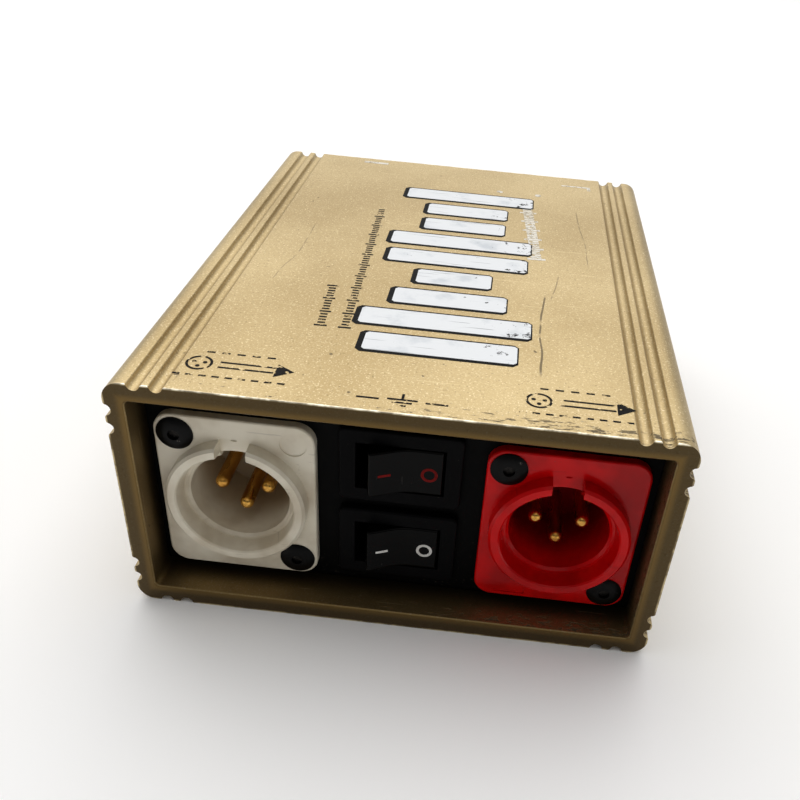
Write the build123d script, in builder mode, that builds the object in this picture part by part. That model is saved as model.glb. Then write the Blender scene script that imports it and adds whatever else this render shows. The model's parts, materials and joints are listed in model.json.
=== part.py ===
"""Two-channel direct injection box.

A grooved aluminium sleeve slides over a folded steel tray. The tray carries two
three-pin connectors and two rocker switches in front, a board with two shielded
transformers in the middle, and a mini jack and two phono jacks at the rear.

The origin is the centre of the underside. +Z is up, the connectors face -Y and
the white channel is on the -X side. All sizes are in millimetres.
"""
from build123d import *
import os
from math import cos, radians, sin, tan

# ---------------------------------------------------------------- driving sizes
# Sleeve
case_width = 88.9
case_height = 44.45
case_length = 114.3
wall = 3.2
corner_radius = 3.0
inner_corner_radius = 0.8
groove_insets = (5.0, 8.4)
groove_radius = 1.05
groove_shoulder = 0.35
shoulder_reach = 0.05
rim_break = 0.25

# Folded tray
sheet = 1.2
tray_side_gap = 0.15
tray_bend_radius = 1.6
front_recess = 6.6
rear_recess = 11.0

# Fasteners through the sleeve's underside
case_screw_inset_x = 13.5
case_screw_inset_y = 19.0
case_screw_radius = 1.45
case_screw_head_radius = 2.8
case_screw_length = 7.4
case_screw_sink = 0.15
screw_clearance = 0.15
cross_length_share = 1.2
cross_width_share = 0.25
cross_depth_share = 0.45
clinch_nut_radius = 2.9
clinch_nut_height = 2.4
clinch_pilot_radius = 2.1
thread_gap = 0.05

# Three-pin connectors
flange_width = 26.0
flange_height = 31.0
flange_thickness = 1.6
flange_corner = 3.2
flange_edge_round = 0.4
connector_side_gap = 1.55
connector_floor_gap = 2.2
ring_proud = 2.6
ring_front_radius = 11.6
ring_base_radius = 11.8
mouth_front_radius = 9.75
mouth_back_radius = 9.25
mouth_depth = 2.9
mouth_chamfer = 0.25
bore_radius = 8.35
bore_depth = 17.7
lip_round = 0.45
keyway_width = 5.0
keyway_radius = 9.25
key_relief_top = 11.7
key_relief_depth = 0.6
insert_radius = 10.6
insert_thickness = 4.0
insert_gap = 0.05
pin_radius = 1.2
pin_tip_flat = 0.42
pin_tip_length = 0.96
pin_circle_radius = 3.96
pin_setback = 5.6
pin_gap = 0.03
solder_cup_radius = 1.3
solder_cup_length = 6.0
solder_cup_bore = 0.9
solder_cup_depth = 3.5
solder_cup_cut = 2.5
hole_offset_x = 9.5
hole_offset_z = 12.0
badge_depth = 0.2
badge_radius = 2.2
badge_plate_width = 5.4
badge_plate_height = 2.2

# Blind rivets
rivet_radius = 1.6
rivet_head_radius = 3.0
rivet_head_height = 0.75
rivet_head_edge = 0.2
rivet_bore = 0.95
rivet_hole_gap = 0.1
rivet_tail_radius = 2.2
rivet_tail_length = 2.8
mandrel_gap = 0.03
mandrel_head_radius = 1.5
mandrel_head_length = 1.4
mandrel_setback = 0.7

# Rocker switches
switch_pitch = 16.2
bezel_overhang_x = 0.7
bezel_overhang_z = 1.0
bezel_thickness = 1.6
bezel_corner = 1.2
bezel_edge_round = 0.5
switch_side_wall = 2.05
switch_top_wall = 1.6
switch_body_depth = 12.3
switch_floor = 1.8
switch_hole_gap = 0.1
snap_lug_height = 5.0
snap_lug_reach = 0.8
snap_lug_length = 3.2
rocker_half_width = 6.0
rocker_half_height = 4.3
rocker_side_gap = 0.2
rocker_end_gap = 0.26
rocker_tilt = 12.0
rocker_end_height = 5.4
rocker_end_face = 1.9
rocker_flank_inset = 0.78
rocker_flank_height = 0.6
rocker_valley_round = 8.0
rocker_edge_round = 0.45
rocker_pivot_depth = 2.3
pivot_pin_radius = 1.2
pivot_pin_length = 1.0
pivot_gap = 0.05
plunger_radius = 1.45
plunger_bore_gap = 0.08
plunger_bore_depth = 4.1
plunger_seat = 2.0
plunger_tip_round = 1.15
boss_depth = 2.6
boss_half_width = 2.4
boss_shoulder = 0.8
spring_wire_radius = 0.18
spring_turns = 5
contact_drop = 5.8
contact_tilt = 8.0
contact_half_length = 5.6
contact_thickness = 0.5
contact_width = 3.6
contact_dot_radius = 1.0
contact_dot_height = 0.5
contact_gap = 0.2
plunger_tip_gap = 0.4
terminal_offset = 4.7
terminal_thickness = 0.8
terminal_width = 4.75
terminal_length = 7.0

# Board and what stands on it
board_side_gap = 9.1
board_length = 46.0
board_thickness = 1.6
board_setback = 29.5
board_hole_inset = 3.5
board_corner = 1.0
spacer_height = 5.0
spacer_radius = 2.5
board_screw_radius = 1.2
board_screw_head_radius = 2.2
board_screw_head_height = 1.6
board_screw_head_round = 0.5
board_screw_bite = 4.0
resistor_setback = 10.2
resistor_places = (-22.0, -9.0, 9.0, 22.0)
resistor_radius = 1.15
resistor_length = 6.3
resistor_span = 10.0
component_lead_radius = 0.3
lead_bend_radius = 0.9
capacitor_places = (-9.0, 1.0)
capacitor_size = (7.2, 3.0, 7.0)
capacitor_inset = 4.0
capacitor_round = 0.4

# Transformers
transformer_offset = 15.5
transformer_setback = 26.0
can_size = (26.0, 24.0, 23.0)
can_wall = 0.6
can_corner = 2.0
can_top_round = 1.2
core_size = (20.0, 12.0, 17.0)
core_leg = 5.0
core_window = (4.2, 10.0)
bobbin_wall = 0.7
bobbin_foot = 2.4
bobbin_margin = 1.0
part_gap = 0.1

# Rear jacks
jack_height_share = 0.5
jack_chamfer = 0.3
hex_sides = 6
minijack_x = -22.0
minijack_body_size = (9.0, 10.5, 11.0)
minijack_body_round = 0.6
minijack_bore_radius = 1.8
minijack_cavity_radius = 2.6
minijack_thread_radius = 3.0
minijack_reach = 4.6
minijack_nut_radius = 4.2
minijack_nut_height = 2.0
minijack_nut_sides = 24
minijack_lug_pitch = 2.6
minijack_lug_length = 3.6
minijack_lug_size = (0.4, 1.8)
phono_places = {"white": 8.0, "red": 26.0}
phono_barrel_radius = 4.15
phono_barrel_length = 8.2
phono_shell_thickness = 0.85
phono_lip_chamfer = 0.4
phono_hex_radius = 6.0
phono_hex_height = 1.6
phono_shank_radius = 3.9
phono_shank_length = 7.0
phono_pin_hole = 1.65
phono_contact_wall = 0.35
phono_contact_setback = 1.4
phono_face_setback = 0.9
phono_tail_radius = 0.8
phono_tail_length = 5.0
phono_nut_radius = 5.6
phono_nut_height = 2.0
tag_thickness = 0.5
tag_radius = 5.3
tag_tail_width = 2.0
tag_tail_length = 5.0
panel_hole_gap = 0.1

# Wires: where each kind leads past the board's edge, as steps along Y and up Z
wire_radius = 0.65
wire_bend_share = 0.45
outer_pin_route = ((1.0, 0.0), (6.8, -4.4))
centre_pin_route = ((0.0, 0.0), (6.2, -2.4))
lower_switch_route = ((-6.4, 0.0), (-1.4, 2.1), (2.4, 1.2))
upper_switch_route = ((-5.0, 0.0), (1.6, -5.3), (5.6, -12.3))
upper_switch_shift = -1.3
jack_pad_inset = 3.6
minijack_route = ((4.0, 0.0), (0.0, -5.2))
phono_tail_route = ((6.4, 0.0), (2.2, -5.2))
phono_tag_route = ((11.5, 0.0), (0.8, -4.0), (-2.2, -13.0))
phono_shift = -1.0

# ---------------------------------------------------------------- places worked out
front_y = -case_length / 2
panel_y = front_y + front_recess
rear_panel_y = case_length / 2 - rear_recess
tray_floor_top = wall + sheet
tray_top = case_height - wall - tray_side_gap
tray_width = case_width - 2 * (wall + tray_side_gap)
board_width = tray_width - 2 * board_side_gap

connector_x = case_width / 2 - wall - connector_side_gap - flange_width / 2
connector_z = wall + connector_floor_gap + flange_height / 2
connector_places = {"white": -connector_x, "red": connector_x}
flange_y = panel_y - flange_thickness
ring_y = flange_y - ring_proud
lip_y = ring_y + mouth_depth
insert_y = ring_y + bore_depth
body_back_y = insert_y + insert_thickness + sheet

switch_places = {
    "lower": (case_height - switch_pitch) / 2,
    "upper": (case_height + switch_pitch) / 2,
}
rocker_reach = (
    rocker_half_width * cos(radians(rocker_tilt)) + rocker_end_height * sin(radians(rocker_tilt))
)
aperture_width = 2 * (rocker_reach + rocker_end_gap)
aperture_height = 2 * (rocker_half_height + rocker_side_gap)
switch_body_width = aperture_width + 2 * switch_side_wall
switch_body_height = aperture_height + 2 * switch_top_wall
bezel_width = switch_body_width + 2 * bezel_overhang_x
bezel_height = switch_body_height + 2 * bezel_overhang_z
rocker_y = panel_y + rocker_pivot_depth
contact_y = rocker_y + contact_drop
switch_floor_y = panel_y + switch_body_depth - switch_floor
switch_back_y = panel_y + switch_body_depth
terminal_end_y = switch_back_y + terminal_length

board_front_y = panel_y + board_setback
board_y = board_front_y + board_length / 2
board_z = tray_floor_top + spacer_height
board_top = board_z + board_thickness
transformer_y = board_front_y + transformer_setback
rear_row_y = board_front_y + board_length - capacitor_inset
jack_z = case_height * jack_height_share

case_screw_places = [
    (sx * (case_width / 2 - case_screw_inset_x), sy * (case_length / 2 - case_screw_inset_y))
    for sx in (-1, 1)
    for sy in (-1, 1)
]
board_screw_places = [
    (sx * (board_width / 2 - board_hole_inset), board_y + sy * (board_length / 2 - board_hole_inset))
    for sx in (-1, 1)
    for sy in (-1, 1)
]
rivet_places = [
    (x + sign * hole_offset_x, connector_z - sign * hole_offset_z)
    for x in connector_places.values()
    for sign in (-1, 1)
]

os.makedirs("parts", exist_ok=True)


def save(piece, name):
    """Label a finished piece and write its file."""
    piece.part.label = name
    export_step(piece.part, f"parts/{name}.step")


def facing_front(y):
    """A plane across the case at y: sketch x is +X, sketch y is +Z, its normal is -Y."""
    return Plane.XZ.offset(-y)


def along_axis(x, y, z):
    """A plane for a profile turned about an axis that runs along Y through (x, y, z).

    Sketch x is the radius and sketch y is the distance along +Y.
    """
    return Plane(origin=(x, y, z), x_dir=(1, 0, 0), z_dir=(0, 0, 1))


def axis_along_y(x, y, z):
    """The axis that goes with along_axis."""
    return Axis((x, y, z), (0, 1, 0))


# ---------------------------------------------------------------- sleeve
# Extruded tube. A pair of half-round grooves runs beside each corner on every face.
groove_places = []
for inset in groove_insets:
    for side in (-1, 1):
        for level in (0, case_height):
            groove_places.append((side * (case_width / 2 - inset), level))
        for face in (-1, 1):
            level = case_height / 2 + side * (case_height / 2 - inset)
            groove_places.append((face * case_width / 2, level))


def beside_groove(vertex):
    """True for the two sharp shoulders of a groove."""
    reach = groove_radius + shoulder_reach
    return any((Vector(vertex.X, vertex.Y) - Vector(x, y)).length < reach for x, y in groove_places)


with BuildPart() as sleeve:
    with BuildSketch(facing_front(front_y)) as section:
        with Locations((0, case_height / 2)):
            RectangleRounded(case_width, case_height, corner_radius)
        with Locations(*groove_places):
            Circle(groove_radius, mode=Mode.SUBTRACT)
        fillet(section.vertices().filter_by(beside_groove), groove_shoulder)
        with Locations((0, case_height / 2)):
            RectangleRounded(
                case_width - 2 * wall,
                case_height - 2 * wall,
                inner_corner_radius,
                mode=Mode.SUBTRACT,
            )
    extrude(amount=-case_length)
    rims = sleeve.faces().filter_by(Axis.Y)
    chamfer([wire.edges() for face in rims for wire in face.inner_wires()], rim_break)
    with Locations(*[Location((x, y, 0), (180, 0, 0)) for x, y in case_screw_places]):
        CounterSinkHole(
            case_screw_radius + screw_clearance,
            case_screw_head_radius + case_screw_sink + screw_clearance,
            depth=wall,
            counter_sink_angle=90,
        )
save(sleeve, "sleeve")

# ---------------------------------------------------------------- tray
# One sheet folded up at both ends: front panel, floor and rear panel.
tray_length = rear_panel_y - panel_y
tray_mid_y = (rear_panel_y + panel_y) / 2
tray_height = tray_top - wall

with BuildPart() as tray:
    with BuildSketch(Plane.YZ.offset(-tray_width / 2)) as fold:
        with Locations((tray_mid_y, wall)):
            Rectangle(tray_length, tray_height, align=(Align.CENTER, Align.MIN))
        fillet(fold.vertices().group_by(Axis.Y)[0], tray_bend_radius)
        with BuildSketch(mode=Mode.SUBTRACT) as hollow:
            with Locations((tray_mid_y, tray_floor_top)):
                Rectangle(tray_length - 2 * sheet, tray_height, align=(Align.CENTER, Align.MIN))
            fillet(hollow.vertices().group_by(Axis.Y)[0], tray_bend_radius - sheet)
    extrude(amount=tray_width)
    with BuildSketch(facing_front(panel_y)):
        with Locations((0, (tray_top + wall) / 2)):
            RectangleRounded(tray_width, tray_height, inner_corner_radius)
    extrude(amount=-tray_length, mode=Mode.INTERSECT)
    with BuildSketch(facing_front(panel_y)):
        with Locations(*[(x, connector_z) for x in connector_places.values()]):
            Circle(ring_base_radius + panel_hole_gap)
        with Locations(*rivet_places):
            Circle(rivet_radius + rivet_hole_gap)
        with Locations(*[(0, z) for z in switch_places.values()]):
            Rectangle(switch_body_width + 2 * switch_hole_gap, switch_body_height + 2 * switch_hole_gap)
    extrude(amount=-sheet, mode=Mode.SUBTRACT)
    with BuildSketch(facing_front(rear_panel_y)):
        with Locations(*[(x, jack_z) for x in phono_places.values()]):
            Circle(phono_shank_radius + panel_hole_gap)
        with Locations((minijack_x, jack_z)):
            Circle(minijack_thread_radius + panel_hole_gap)
    extrude(amount=sheet, mode=Mode.SUBTRACT)
    with BuildSketch(Plane.XY.offset(wall)):
        with Locations(*case_screw_places):
            Circle(clinch_pilot_radius + thread_gap)
    extrude(amount=sheet, mode=Mode.SUBTRACT)
save(tray, "tray")

# ---------------------------------------------------------------- clinch nuts and case screws
with BuildPart() as clinch_nuts:
    with BuildSketch(Plane.XY.offset(tray_floor_top)):
        with Locations(*case_screw_places):
            Circle(clinch_nut_radius)
    extrude(amount=clinch_nut_height)
    with BuildSketch(Plane.XY.offset(wall)):
        with Locations(*case_screw_places):
            Circle(clinch_pilot_radius)
    extrude(amount=sheet)
    with BuildSketch(Plane.XY.offset(wall)):
        with Locations(*case_screw_places):
            Circle(case_screw_radius + thread_gap)
    extrude(amount=sheet + clinch_nut_height, mode=Mode.SUBTRACT)
save(clinch_nuts, "clinch_nuts")

with BuildPart() as case_screws:
    for x, y in case_screw_places:
        with BuildSketch(Plane(origin=(x, y, 0), x_dir=(1, 0, 0), z_dir=(0, -1, 0))):
            with BuildLine():
                Polyline(
                    (0, case_screw_sink),
                    (case_screw_head_radius, case_screw_sink),
                    (case_screw_radius, case_screw_sink + case_screw_head_radius - case_screw_radius),
                    (case_screw_radius, case_screw_length),
                    (0, case_screw_length),
                    close=True,
                )
            make_face()
        revolve(axis=Axis((x, y, 0), (0, 0, 1)))
        socket_plane = Plane(origin=(x, y, case_screw_sink), x_dir=(1, 0, 0), z_dir=(0, 0, 1))
        with BuildSketch(socket_plane):
            for turn in (0, 90):
                Rectangle(
                    case_screw_head_radius * cross_length_share,
                    case_screw_head_radius * cross_width_share,
                    rotation=turn,
                )
        extrude(amount=case_screw_head_radius * cross_depth_share, mode=Mode.SUBTRACT)
save(case_screws, "case_screws")

# ---------------------------------------------------------------- three-pin connectors
# Moulded housing: rectangular flange, raised ring and a long tube behind the panel.
# The badge is a plain sunk shape, a disc on one housing and a bar on the other.
pin_spots = [(-pin_circle_radius, 0), (pin_circle_radius, 0), (0, -pin_circle_radius)]
connector_back = body_back_y - ring_y

for colour, x in connector_places.items():
    with BuildPart() as housing:
        with BuildSketch(facing_front(panel_y)):
            with Locations((x, connector_z)):
                RectangleRounded(flange_width, flange_height, flange_corner)
        extrude(amount=flange_thickness)
        fillet(housing.faces().sort_by(Axis.Y)[0].edges(), flange_edge_round)
        with BuildSketch(along_axis(x, ring_y, connector_z)):
            with BuildLine():
                Polyline(
                    (0, 0),
                    (ring_front_radius - lip_round, 0),
                    (ring_front_radius, lip_round),
                    (ring_base_radius, ring_proud + flange_thickness),
                    (ring_base_radius, connector_back),
                    (0, connector_back),
                    close=True,
                )
            make_face()
        revolve(axis=axis_along_y(x, ring_y, connector_z))
        with BuildSketch(along_axis(x, ring_y, connector_z)):
            with BuildLine():
                Polyline(
                    (0, 0),
                    (mouth_front_radius + mouth_chamfer, 0),
                    (mouth_front_radius, mouth_chamfer),
                    (mouth_back_radius, mouth_depth),
                    (bore_radius + lip_round, mouth_depth),
                    (bore_radius, mouth_depth + lip_round),
                    (bore_radius, bore_depth),
                    (insert_radius + insert_gap, bore_depth),
                    (insert_radius + insert_gap, connector_back),
                    (0, connector_back),
                    close=True,
                )
            make_face()
        revolve(axis=axis_along_y(x, ring_y, connector_z), mode=Mode.SUBTRACT)
        with BuildSketch(facing_front(flange_y + key_relief_depth)):
            with Locations((x, connector_z)):
                Rectangle(keyway_width, key_relief_top, align=(Align.CENTER, Align.MIN))
        extrude(amount=ring_proud + key_relief_depth, mode=Mode.SUBTRACT)
        with BuildSketch(facing_front(lip_y)):
            with Locations((x, connector_z)):
                Circle(keyway_radius)
                Rectangle(
                    keyway_width, keyway_radius, align=(Align.CENTER, Align.MIN), mode=Mode.INTERSECT
                )
        extrude(amount=-(bore_depth - mouth_depth), mode=Mode.SUBTRACT)
        with BuildSketch(facing_front(flange_y)):
            with Locations((x - hole_offset_x, connector_z + hole_offset_z)):
                Circle(rivet_radius + rivet_hole_gap)
            with Locations((x + hole_offset_x, connector_z - hole_offset_z)):
                Circle(rivet_radius + rivet_hole_gap)
        extrude(amount=-flange_thickness, mode=Mode.SUBTRACT)
        with BuildSketch(facing_front(flange_y)):
            if colour == "white":
                with Locations((x + hole_offset_x, connector_z + hole_offset_z)):
                    Circle(badge_radius)
            else:
                low_edge = connector_z - flange_height / 2 + badge_plate_height / 2 + 2 * flange_edge_round
                with Locations((x - hole_offset_x + badge_plate_width / 2, low_edge)):
                    Rectangle(badge_plate_width, badge_plate_height)
        extrude(amount=-badge_depth, mode=Mode.SUBTRACT)
    save(housing, f"connector_housing_{colour}")

    with BuildPart() as carrier:
        with BuildSketch(facing_front(insert_y)):
            with Locations((x, connector_z)):
                Circle(insert_radius)
        extrude(amount=-insert_thickness)
        with BuildSketch(facing_front(insert_y)):
            with Locations(*[(x + px, connector_z + pz) for px, pz in pin_spots]):
                Circle(pin_radius + pin_gap)
        extrude(amount=-insert_thickness, mode=Mode.SUBTRACT)
    save(carrier, f"pin_carrier_{colour}")

    pin_tip_y = ring_y + pin_setback
    cup_y = insert_y + insert_thickness
    cup_end_y = cup_y + solder_cup_length
    with BuildPart() as pins:
        for px, pz in pin_spots:
            with BuildSketch(along_axis(x + px, pin_tip_y, connector_z + pz)):
                with BuildLine():
                    outline = Polyline(
                        (pin_tip_flat, 0),
                        (0, 0),
                        (0, cup_end_y - pin_tip_y),
                        (solder_cup_radius, cup_end_y - pin_tip_y),
                        (solder_cup_radius, cup_y - pin_tip_y),
                        (pin_radius, cup_y - pin_tip_y),
                        (pin_radius, pin_tip_length),
                    )
                    TangentArc(outline @ 1, outline @ 0, tangent=(0, -1))
                make_face()
            revolve(axis=axis_along_y(x + px, pin_tip_y, connector_z + pz))
            with BuildSketch(facing_front(cup_end_y)):
                with Locations((x + px, connector_z + pz)):
                    Circle(solder_cup_bore)
            extrude(amount=solder_cup_depth, mode=Mode.SUBTRACT)
            with BuildSketch(facing_front(cup_end_y)):
                with Locations((x + px, connector_z + pz)):
                    Rectangle(
                        2 * solder_cup_radius, 2 * solder_cup_radius, align=(Align.CENTER, Align.MIN)
                    )
            extrude(amount=solder_cup_cut, mode=Mode.SUBTRACT)
    save(pins, f"contact_pins_{colour}")

# ---------------------------------------------------------------- blind rivets
# Dome head on the flange, shank through flange and panel, set tail behind the panel.
grip = flange_thickness + sheet
tail_end = grip + rivet_tail_length

with BuildPart() as flange_rivets:
    for x, z in rivet_places:
        with BuildSketch(along_axis(x, flange_y, z)):
            with BuildLine():
                body_line = Polyline(
                    (rivet_head_radius, -rivet_head_edge),
                    (rivet_head_radius, 0),
                    (rivet_radius, 0),
                    (rivet_radius, grip),
                    (rivet_tail_radius, grip),
                    (rivet_tail_radius, tail_end - rivet_head_height / 2),
                    (rivet_radius, tail_end),
                    (rivet_bore, tail_end),
                    (rivet_bore, -rivet_head_height),
                )
                TangentArc(body_line @ 1, body_line @ 0, tangent=(1, 0))
            make_face()
        revolve(axis=axis_along_y(x, flange_y, z))
save(flange_rivets, "flange_rivets")

with BuildPart() as rivet_mandrels:
    for x, z in rivet_places:
        with BuildSketch(along_axis(x, flange_y, z)):
            with BuildLine():
                Polyline(
                    (0, mandrel_setback - rivet_head_height),
                    (rivet_bore - mandrel_gap, mandrel_setback - rivet_head_height),
                    (rivet_bore - mandrel_gap, tail_end),
                    (mandrel_head_radius, tail_end),
                    (mandrel_head_radius, tail_end + mandrel_head_length),
                    (0, tail_end + mandrel_head_length),
                    close=True,
                )
            make_face()
        revolve(axis=axis_along_y(x, flange_y, z))
save(rivet_mandrels, "rivet_mandrels")

# ---------------------------------------------------------------- rocker switches
# Each rocker turns about a vertical pin. At rest its +X end is pressed in.
valley_height = rocker_end_height - rocker_half_width * tan(radians(rocker_tilt))
plunger_tip = contact_drop - contact_thickness / 2 - plunger_tip_gap
terminal_x = terminal_offset
contact_sweep = contact_half_length * sin(radians(contact_tilt))
pad_y = contact_y + contact_sweep + contact_thickness / 2 + contact_dot_height + contact_gap


def tilted(y, z, angle):
    """A plane seen from above whose sketch x is turned by angle about a vertical pin."""
    turn = radians(angle)
    return Plane(origin=(0, y, z), x_dir=(cos(turn), sin(turn), 0), z_dir=(0, 0, 1))


def plunger_plane(z, depth):
    """A plane square to the rocker's plunger, depth behind the rocker's pin."""
    turn = radians(rocker_tilt)
    square = Plane(
        origin=(0, rocker_y, z), x_dir=(cos(turn), sin(turn), 0), z_dir=(-sin(turn), cos(turn), 0)
    )
    return square.offset(depth)


for level, z in switch_places.items():
    with BuildPart() as frame:
        with BuildSketch(facing_front(panel_y)):
            with Locations((0, z)):
                RectangleRounded(bezel_width, bezel_height, bezel_corner)
        extrude(amount=bezel_thickness)
        fillet(frame.faces().sort_by(Axis.Y)[0].edges(), bezel_edge_round)
        with BuildSketch(facing_front(panel_y)):
            with Locations((0, z)):
                Rectangle(switch_body_width, switch_body_height)
        extrude(amount=-switch_body_depth)
        with BuildSketch(Plane.XY.offset(z)):
            for side in (-1, 1):
                with BuildLine():
                    Polyline(
                        (side * switch_body_width / 2, panel_y + sheet + switch_hole_gap),
                        (side * (switch_body_width / 2 + snap_lug_reach), panel_y + sheet + switch_hole_gap),
                        (side * switch_body_width / 2, panel_y + sheet + snap_lug_length),
                        close=True,
                    )
                make_face()
        extrude(amount=snap_lug_height / 2, both=True)
        with BuildSketch(facing_front(switch_floor_y)):
            with Locations((0, z)):
                Rectangle(aperture_width, aperture_height)
        extrude(amount=switch_body_depth + bezel_thickness, mode=Mode.SUBTRACT)
        with BuildSketch(Plane.XY.offset(z)):
            with Locations((0, rocker_y)):
                Circle(pivot_pin_radius + pivot_gap)
        extrude(
            amount=rocker_half_height + pivot_pin_length + pivot_gap + rocker_side_gap / 2,
            both=True,
            mode=Mode.SUBTRACT,
        )
        with BuildSketch(facing_front(switch_back_y)):
            with Locations((0, z), (terminal_x, z)):
                Rectangle(terminal_thickness + 2 * part_gap, terminal_width + 2 * part_gap)
        extrude(amount=switch_floor, mode=Mode.SUBTRACT)
    save(frame, f"switch_frame_{level}")

    with BuildPart() as rocker:
        with BuildSketch(tilted(rocker_y, z, rocker_tilt)) as side_view:
            with BuildLine():
                right_half = [
                    (rocker_half_width, -rocker_end_height),
                    (rocker_half_width, rocker_end_face - rocker_end_height),
                    (rocker_half_width - rocker_flank_inset, -rocker_flank_height),
                    (boss_half_width, boss_shoulder),
                    (boss_half_width, boss_depth),
                ]
                left_half = [(-u, w) for u, w in reversed(right_half)]
                Polyline((0, -valley_height), *right_half, *left_half, close=True)
            make_face()
            valley = side_view.vertices().sort_by_distance((0, -valley_height))[0]
            fillet(valley, rocker_valley_round)
        extrude(amount=rocker_half_height, both=True)
        front_edges = rocker.edges().filter_by(
            lambda edge: (edge.center() - Vector(0, rocker_y, z)).length > valley_height
            and edge.center().Y < rocker_y + rocker_flank_height - valley_height
        )
        fillet(front_edges, rocker_edge_round)
        with BuildSketch(Plane.XY.offset(z)):
            with Locations((0, rocker_y)):
                Circle(pivot_pin_radius)
        extrude(amount=rocker_half_height + pivot_pin_length, both=True)
        with BuildSketch(plunger_plane(z, boss_depth)):
            Circle(plunger_radius + plunger_bore_gap)
        extrude(amount=-plunger_bore_depth, mode=Mode.SUBTRACT)
    save(rocker, f"rocker_{level}")

    with BuildPart() as plunger:
        with BuildSketch(plunger_plane(z, plunger_seat)):
            Circle(plunger_radius)
        extrude(amount=plunger_tip - plunger_seat)
        tip = plunger.faces().sort_by(Axis.Y)[-1]
        fillet(tip.edges(), plunger_tip_round)
    save(plunger, f"plunger_{level}")

    spring_length = plunger_seat - (boss_depth - plunger_bore_depth)
    spring_radius = plunger_radius - spring_wire_radius
    with BuildPart() as spring:
        base = plunger_plane(z, plunger_seat - spring_length + spring_wire_radius)
        with BuildLine() as coil:
            Helix(
                pitch=(spring_length - 2 * spring_wire_radius) / spring_turns,
                height=spring_length - 2 * spring_wire_radius,
                radius=spring_radius,
                center=base.origin,
                direction=base.z_dir,
            )
        with BuildSketch(Plane(origin=coil.line @ 0, z_dir=coil.line % 0)):
            Circle(spring_wire_radius)
        sweep(path=coil.line, is_frenet=True)
    save(spring, f"rocker_spring_{level}")

    with BuildPart() as arm:
        with BuildSketch(tilted(contact_y, z, -contact_tilt)):
            Rectangle(2 * contact_half_length, contact_thickness)
            with Locations((terminal_x, contact_thickness / 2)):
                Rectangle(2 * contact_dot_radius, contact_dot_height, align=(Align.CENTER, Align.MIN))
        extrude(amount=contact_width / 2, both=True)
    save(arm, f"contact_arm_{level}")

    with BuildPart() as terminals:
        for x, inner_y in ((0, contact_y + contact_thickness / 2 + contact_gap), (terminal_x, pad_y)):
            with BuildSketch(facing_front(terminal_end_y)):
                with Locations((x, z)):
                    Rectangle(terminal_thickness, terminal_width)
            extrude(amount=terminal_end_y - inner_y)
    save(terminals, f"switch_terminals_{level}")

# ---------------------------------------------------------------- circuit board
with BuildPart() as circuit_board:
    with BuildSketch(Plane.XY.offset(board_z)):
        with Locations((0, board_y)):
            RectangleRounded(board_width, board_length, board_corner)
        with Locations(*board_screw_places):
            Circle(board_screw_radius + screw_clearance, mode=Mode.SUBTRACT)
    extrude(amount=board_thickness)
save(circuit_board, "circuit_board")

with BuildPart() as board_spacers:
    with BuildSketch(Plane.XY.offset(tray_floor_top)):
        with Locations(*board_screw_places):
            Circle(spacer_radius)
            Circle(board_screw_radius + thread_gap, mode=Mode.SUBTRACT)
    extrude(amount=spacer_height)
save(board_spacers, "board_spacers")

with BuildPart() as board_screws:
    with BuildSketch(Plane.XY.offset(board_top)):
        with Locations(*board_screw_places):
            Circle(board_screw_head_radius)
    extrude(amount=board_screw_head_height)
    fillet(board_screws.faces().filter_by(Axis.Z).group_by(Axis.Z)[-1].edges(), board_screw_head_round)
    with BuildSketch(Plane.XY.offset(board_top)):
        with Locations(*board_screw_places):
            Circle(board_screw_radius)
    extrude(amount=-(board_thickness + board_screw_bite))
    with BuildSketch(Plane.XY.offset(board_top + board_screw_head_height)):
        with Locations(*board_screw_places):
            for turn in (0, 90):
                Rectangle(
                    board_screw_head_radius * cross_length_share,
                    board_screw_head_radius * cross_width_share,
                    rotation=turn,
                )
    extrude(amount=-board_screw_head_radius * cross_depth_share, mode=Mode.SUBTRACT)
save(board_screws, "board_screws")

# Axial resistors of the level pads, on bent legs
resistor_y = board_front_y + resistor_setback
resistor_z = board_top + resistor_radius + part_gap

with BuildPart() as pad_resistors:
    for x in resistor_places:
        left = x - resistor_span / 2
        right = x + resistor_span / 2
        with BuildLine() as legs:
            FilletPolyline(
                (left, resistor_y, board_top),
                (left, resistor_y, resistor_z),
                (right, resistor_y, resistor_z),
                (right, resistor_y, board_top),
                radius=lead_bend_radius,
            )
        with BuildSketch(Plane(origin=(left, resistor_y, board_top), z_dir=(0, 0, 1))):
            Circle(component_lead_radius)
        sweep(path=legs.line)
        with BuildSketch(Plane.YZ.offset(x - resistor_length / 2)):
            with Locations((resistor_y, resistor_z)):
                Circle(resistor_radius)
        extrude(amount=resistor_length)
save(pad_resistors, "pad_resistors")

with BuildPart() as lift_capacitors:
    with BuildSketch(Plane.XY.offset(board_top)):
        with Locations(*[(x, rear_row_y) for x in capacitor_places]):
            Rectangle(capacitor_size[0], capacitor_size[1])
    extrude(amount=capacitor_size[2])
    fillet(lift_capacitors.edges().filter_by(Axis.Z), capacitor_round)
save(lift_capacitors, "lift_capacitors")

# ---------------------------------------------------------------- transformers
# Laminated core, bobbin and winding under a drawn shielding can, one for each channel.
foot_top = board_top + bobbin_foot
core_mid_z = foot_top + core_size[2] / 2
cheek_size = (core_leg + 2 * core_window[0] - 2 * part_gap, core_size[1] + 2 * core_window[0])
tube_size = (core_leg + 2 * (part_gap + bobbin_wall), core_size[1] + 2 * (part_gap + bobbin_wall))
coil_height = core_window[1] - 2 * part_gap

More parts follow.
